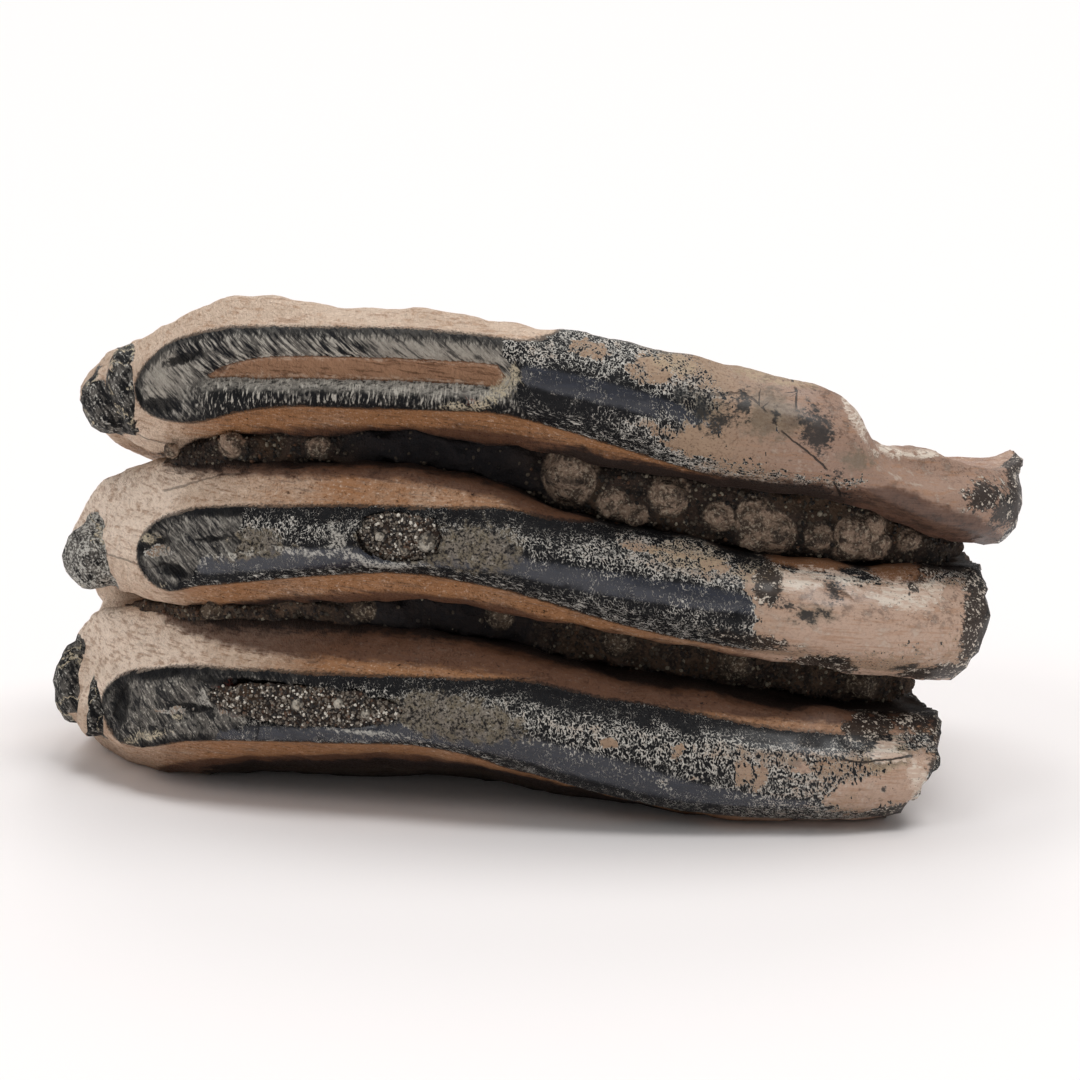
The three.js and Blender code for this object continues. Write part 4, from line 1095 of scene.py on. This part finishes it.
def scatterTree():  # grains strewn over a mesh where its grainShare says so
    tree = bpy.data.node_groups.new("strewnGrains", "GeometryNodeTree")
    tree.is_modifier = True
    made = {}
    for way, label, kind, value in (
            ("OUTPUT", "Geometry", "Geometry", None), ("INPUT", "Geometry", "Geometry", None),
            ("INPUT", "Grains per square metre", "Float", 1e6), ("INPUT", "Smallest radius", "Float", 0.0002),
            ("INPUT", "Largest radius", "Float", 0.0004), ("INPUT", "Seed", "Int", 1),
            ("INPUT", "Finish", "Material", None)):
        socket = tree.interface.new_socket(label, in_out=way, socket_type="NodeSocket" + kind)
        if value is not None:
            socket.default_value = value

    def add(name, kind, settings, values):  # a value can be an earlier node's name and its output
        node = made[name] = tree.nodes.new(kind)
        for key, value in settings.items():
            setattr(node, key, value)
        for key, value in values.items():
            if isinstance(value, tuple) and isinstance(value[0], str):
                tree.links.new(made[value[0]].outputs[value[1]], node.inputs[key])
            else:
                node.inputs[key].default_value = value

    random, single, triple = "FunctionNodeRandomValue", {"data_type": "FLOAT"}, {"data_type": "FLOAT_VECTOR"}
    add("in", "NodeGroupInput", {}, {})
    add("share", "GeometryNodeInputNamedAttribute", single, {0: "grainShare"})
    add("density", "ShaderNodeMath", {"operation": "MULTIPLY"},
        {0: ("in", "Grains per square metre"), 1: ("share", 0)})
    add("points", "GeometryNodeDistributePointsOnFaces", {"distribute_method": "RANDOM"},
        {"Mesh": ("in", "Geometry"), "Density": ("density", 0), "Seed": ("in", "Seed")})
    add("shape", "GeometryNodeMeshIcoSphere", {}, {"Radius": 1.0, "Subdivisions": 1})
    add("size", random, single,
        {2: ("in", "Smallest radius"), 3: ("in", "Largest radius"), "Seed": ("in", "Seed")})
    add("squash", random, triple, {0: (0.6, 0.6, 0.5), 1: (1.25, 1.1, 1), "Seed": 5})
    add("scale", "ShaderNodeVectorMath", {"operation": "SCALE"}, {0: ("squash", 0), 3: ("size", 1)})
    add("turn", random, triple, {0: (0, 0, 0), 1: (6.28, 6.28, 6.28), "Seed": 7})
    add("set", "GeometryNodeInstanceOnPoints", {},
        {"Points": ("points", "Points"), "Instance": ("shape", 0), "Rotation": ("turn", 0),
         "Scale": ("scale", 0)})
    add("hue", random, single, {"Seed": 9})
    add("stored", "GeometryNodeStoreNamedAttribute", {**single, "domain": "INSTANCE"},
        {"Geometry": ("set", 0), "Name": "hue", "Value": ("hue", 1)})
    add("real", "GeometryNodeRealizeInstances", {}, {0: ("stored", 0)})
    add("paint", "GeometryNodeSetMaterial", {}, {"Geometry": ("real", 0), "Material": ("in", "Finish")})
    add("out", "NodeGroupOutput", {}, {0: ("paint", 0)})
    return tree


def strewn(carrier, name, finish, slot, density, radii, seed):  # density in grains per square mm
    piece = shown(name, carrier.data.copy())
    step = piece.modifiers.new("grains", "NODES")
    step.node_group = grainTree
    ids = {item.name: item.identifier for item in grainTree.interface.items_tree if item.in_out == "INPUT"}
    step[ids["Grains per square metre"]] = density * 1e6
    step[ids["Smallest radius"]], step[ids["Largest radius"]] = radii[0] * mm, radii[1] * mm
    step[ids["Seed"]], step[ids["Finish"]] = seed, finish
    applied(piece).data.name = name
    keepPiece(piece, finish, slot)


bedForm = {"frontShare": 0.34, "voxel": 0.16, "sandRelief": 0.2, "stoneRelief": 0.08}


def sandBed(key, pit):  # the sand that fills a pit, a little rough
    piece = bentBall(key + "_plate_fill", pit["at"], pit["radii"], bedForm["frontShare"])
    stones = [np.array(stone) for stone in pit["stones"]]
    joinWith(piece, [ballOf("stone", stone[:3], (stone[3],) * 3, 20, 3) for stone in stones], "UNION")
    remade(piece, bedForm["voxel"])
    p, n = points(piece), normals(piece)
    soft = depthInStones(p, stones)
    height = blend(bedForm["sandRelief"], bedForm["stoneRelief"], ease(soft, -0.3, 0))
    setPoints(piece, p + n * (height * layered(p, 0.9, 3, 51))[:, None])
    share = ease(-normals(piece)[:, 1], 0.1, 0.6) * ease(soft, 0, -0.2)
    store(piece, {"grainShare": share, "stone": soft + 0.3})
    return placed(piece)


grainTree = scatterTree()
gritForm = {"density": 4, "radii": (0.1, 0.3), "seed": 3}  # grains per square mm, and mm
sandForm = {"density": 22, "radii": (0.07, 0.24), "seed": 11}
bedInks = {"soil": ink(60, 47, 39), "soilDark": ink(19, 16, 14), "stone": ink(208, 200, 186)}
for key, made in packings.items():
    piece = packingBody(key + "_groove_packing", made)
    finish = packingFinish(key + "_soil", made["soil"], made["soilDark"], made["stone"])
    keepPiece(piece, finish, made["slot"], key + "_groove_sediment")
    grit = grainFinish(key + "_grit", made["soilDark"], ink(74, 65, 54), ink(134, 126, 110))
    strewn(piece, key + "_groove_grit", grit, made["slot"], **gritForm)
for key, pit in pits.items():
    piece = sandBed(key, pit)
    keepPiece(piece, packingFinish(key + "_sand_bed", **bedInks), "sand", key + "_plate_sand")
    sand = grainFinish(key + "_sand_grains", ink(34, 31, 30), ink(130, 120, 108), ink(222, 216, 204))
    strewn(piece, key + "_plate_grains", sand, "sand", **sandForm)


studio = {
    "floor": ink(247, 243, 242), "sky": 0.3, "lens": 103.33, "distance": 310, "lift": 12,
    "target": (1.25, -20, 29.4), "spread": 24,
    "lamps": {"frontRight": (45, 68, 1.14), "backRight": (135, 68, 0.58), "backLeft": (225, 68, 0.52),
              "back": (180, 42, 0.45), "frontLeft": (315, 42, 0.38)},  # turn, height and power
}


def setStage():
    mesh = bpy.data.meshes.new("floor")
    mesh.from_pydata([(-9, -3, 0), (9, -3, 0), (9, 30, 0), (-9, 30, 0)], [], [(0, 1, 2, 3)])
    mesh.materials.append(Finish("pale_paper").done({"Base Color": studio["floor"], "Roughness": 0.9}))
    shown("floor", mesh)
    scene = bpy.context.scene
    scene.world = bpy.data.worlds.new("tent")
    scene.world.use_nodes = True
    background = scene.world.node_tree.nodes["Background"].inputs
    background[0].default_value, background[1].default_value = (1, 0.98, 0.975, 1), studio["sky"]
    for name, (turn, height, power) in studio["lamps"].items():
        light = bpy.data.lights.new(name, "SUN")
        light.energy, light.angle = power, radians(studio["spread"])
        shown(name, light).rotation_euler = (radians(90 - height), 0, radians(turn))
    lens = bpy.data.cameras.new("camera")
    lens.lens, lens.sensor_width = studio["lens"], 36
    scene.camera = shown("camera", lens)
    lift = radians(studio["lift"])
    back = Vector((0, -cos(lift), sin(lift))) * studio["distance"]
    scene.camera.location = (Vector(studio["target"]) + back) * mm
    scene.camera.rotation_euler = (radians(90) - lift, 0, 0)
    scene.view_settings.view_transform = "Standard"


setStage()
tell("stage set")
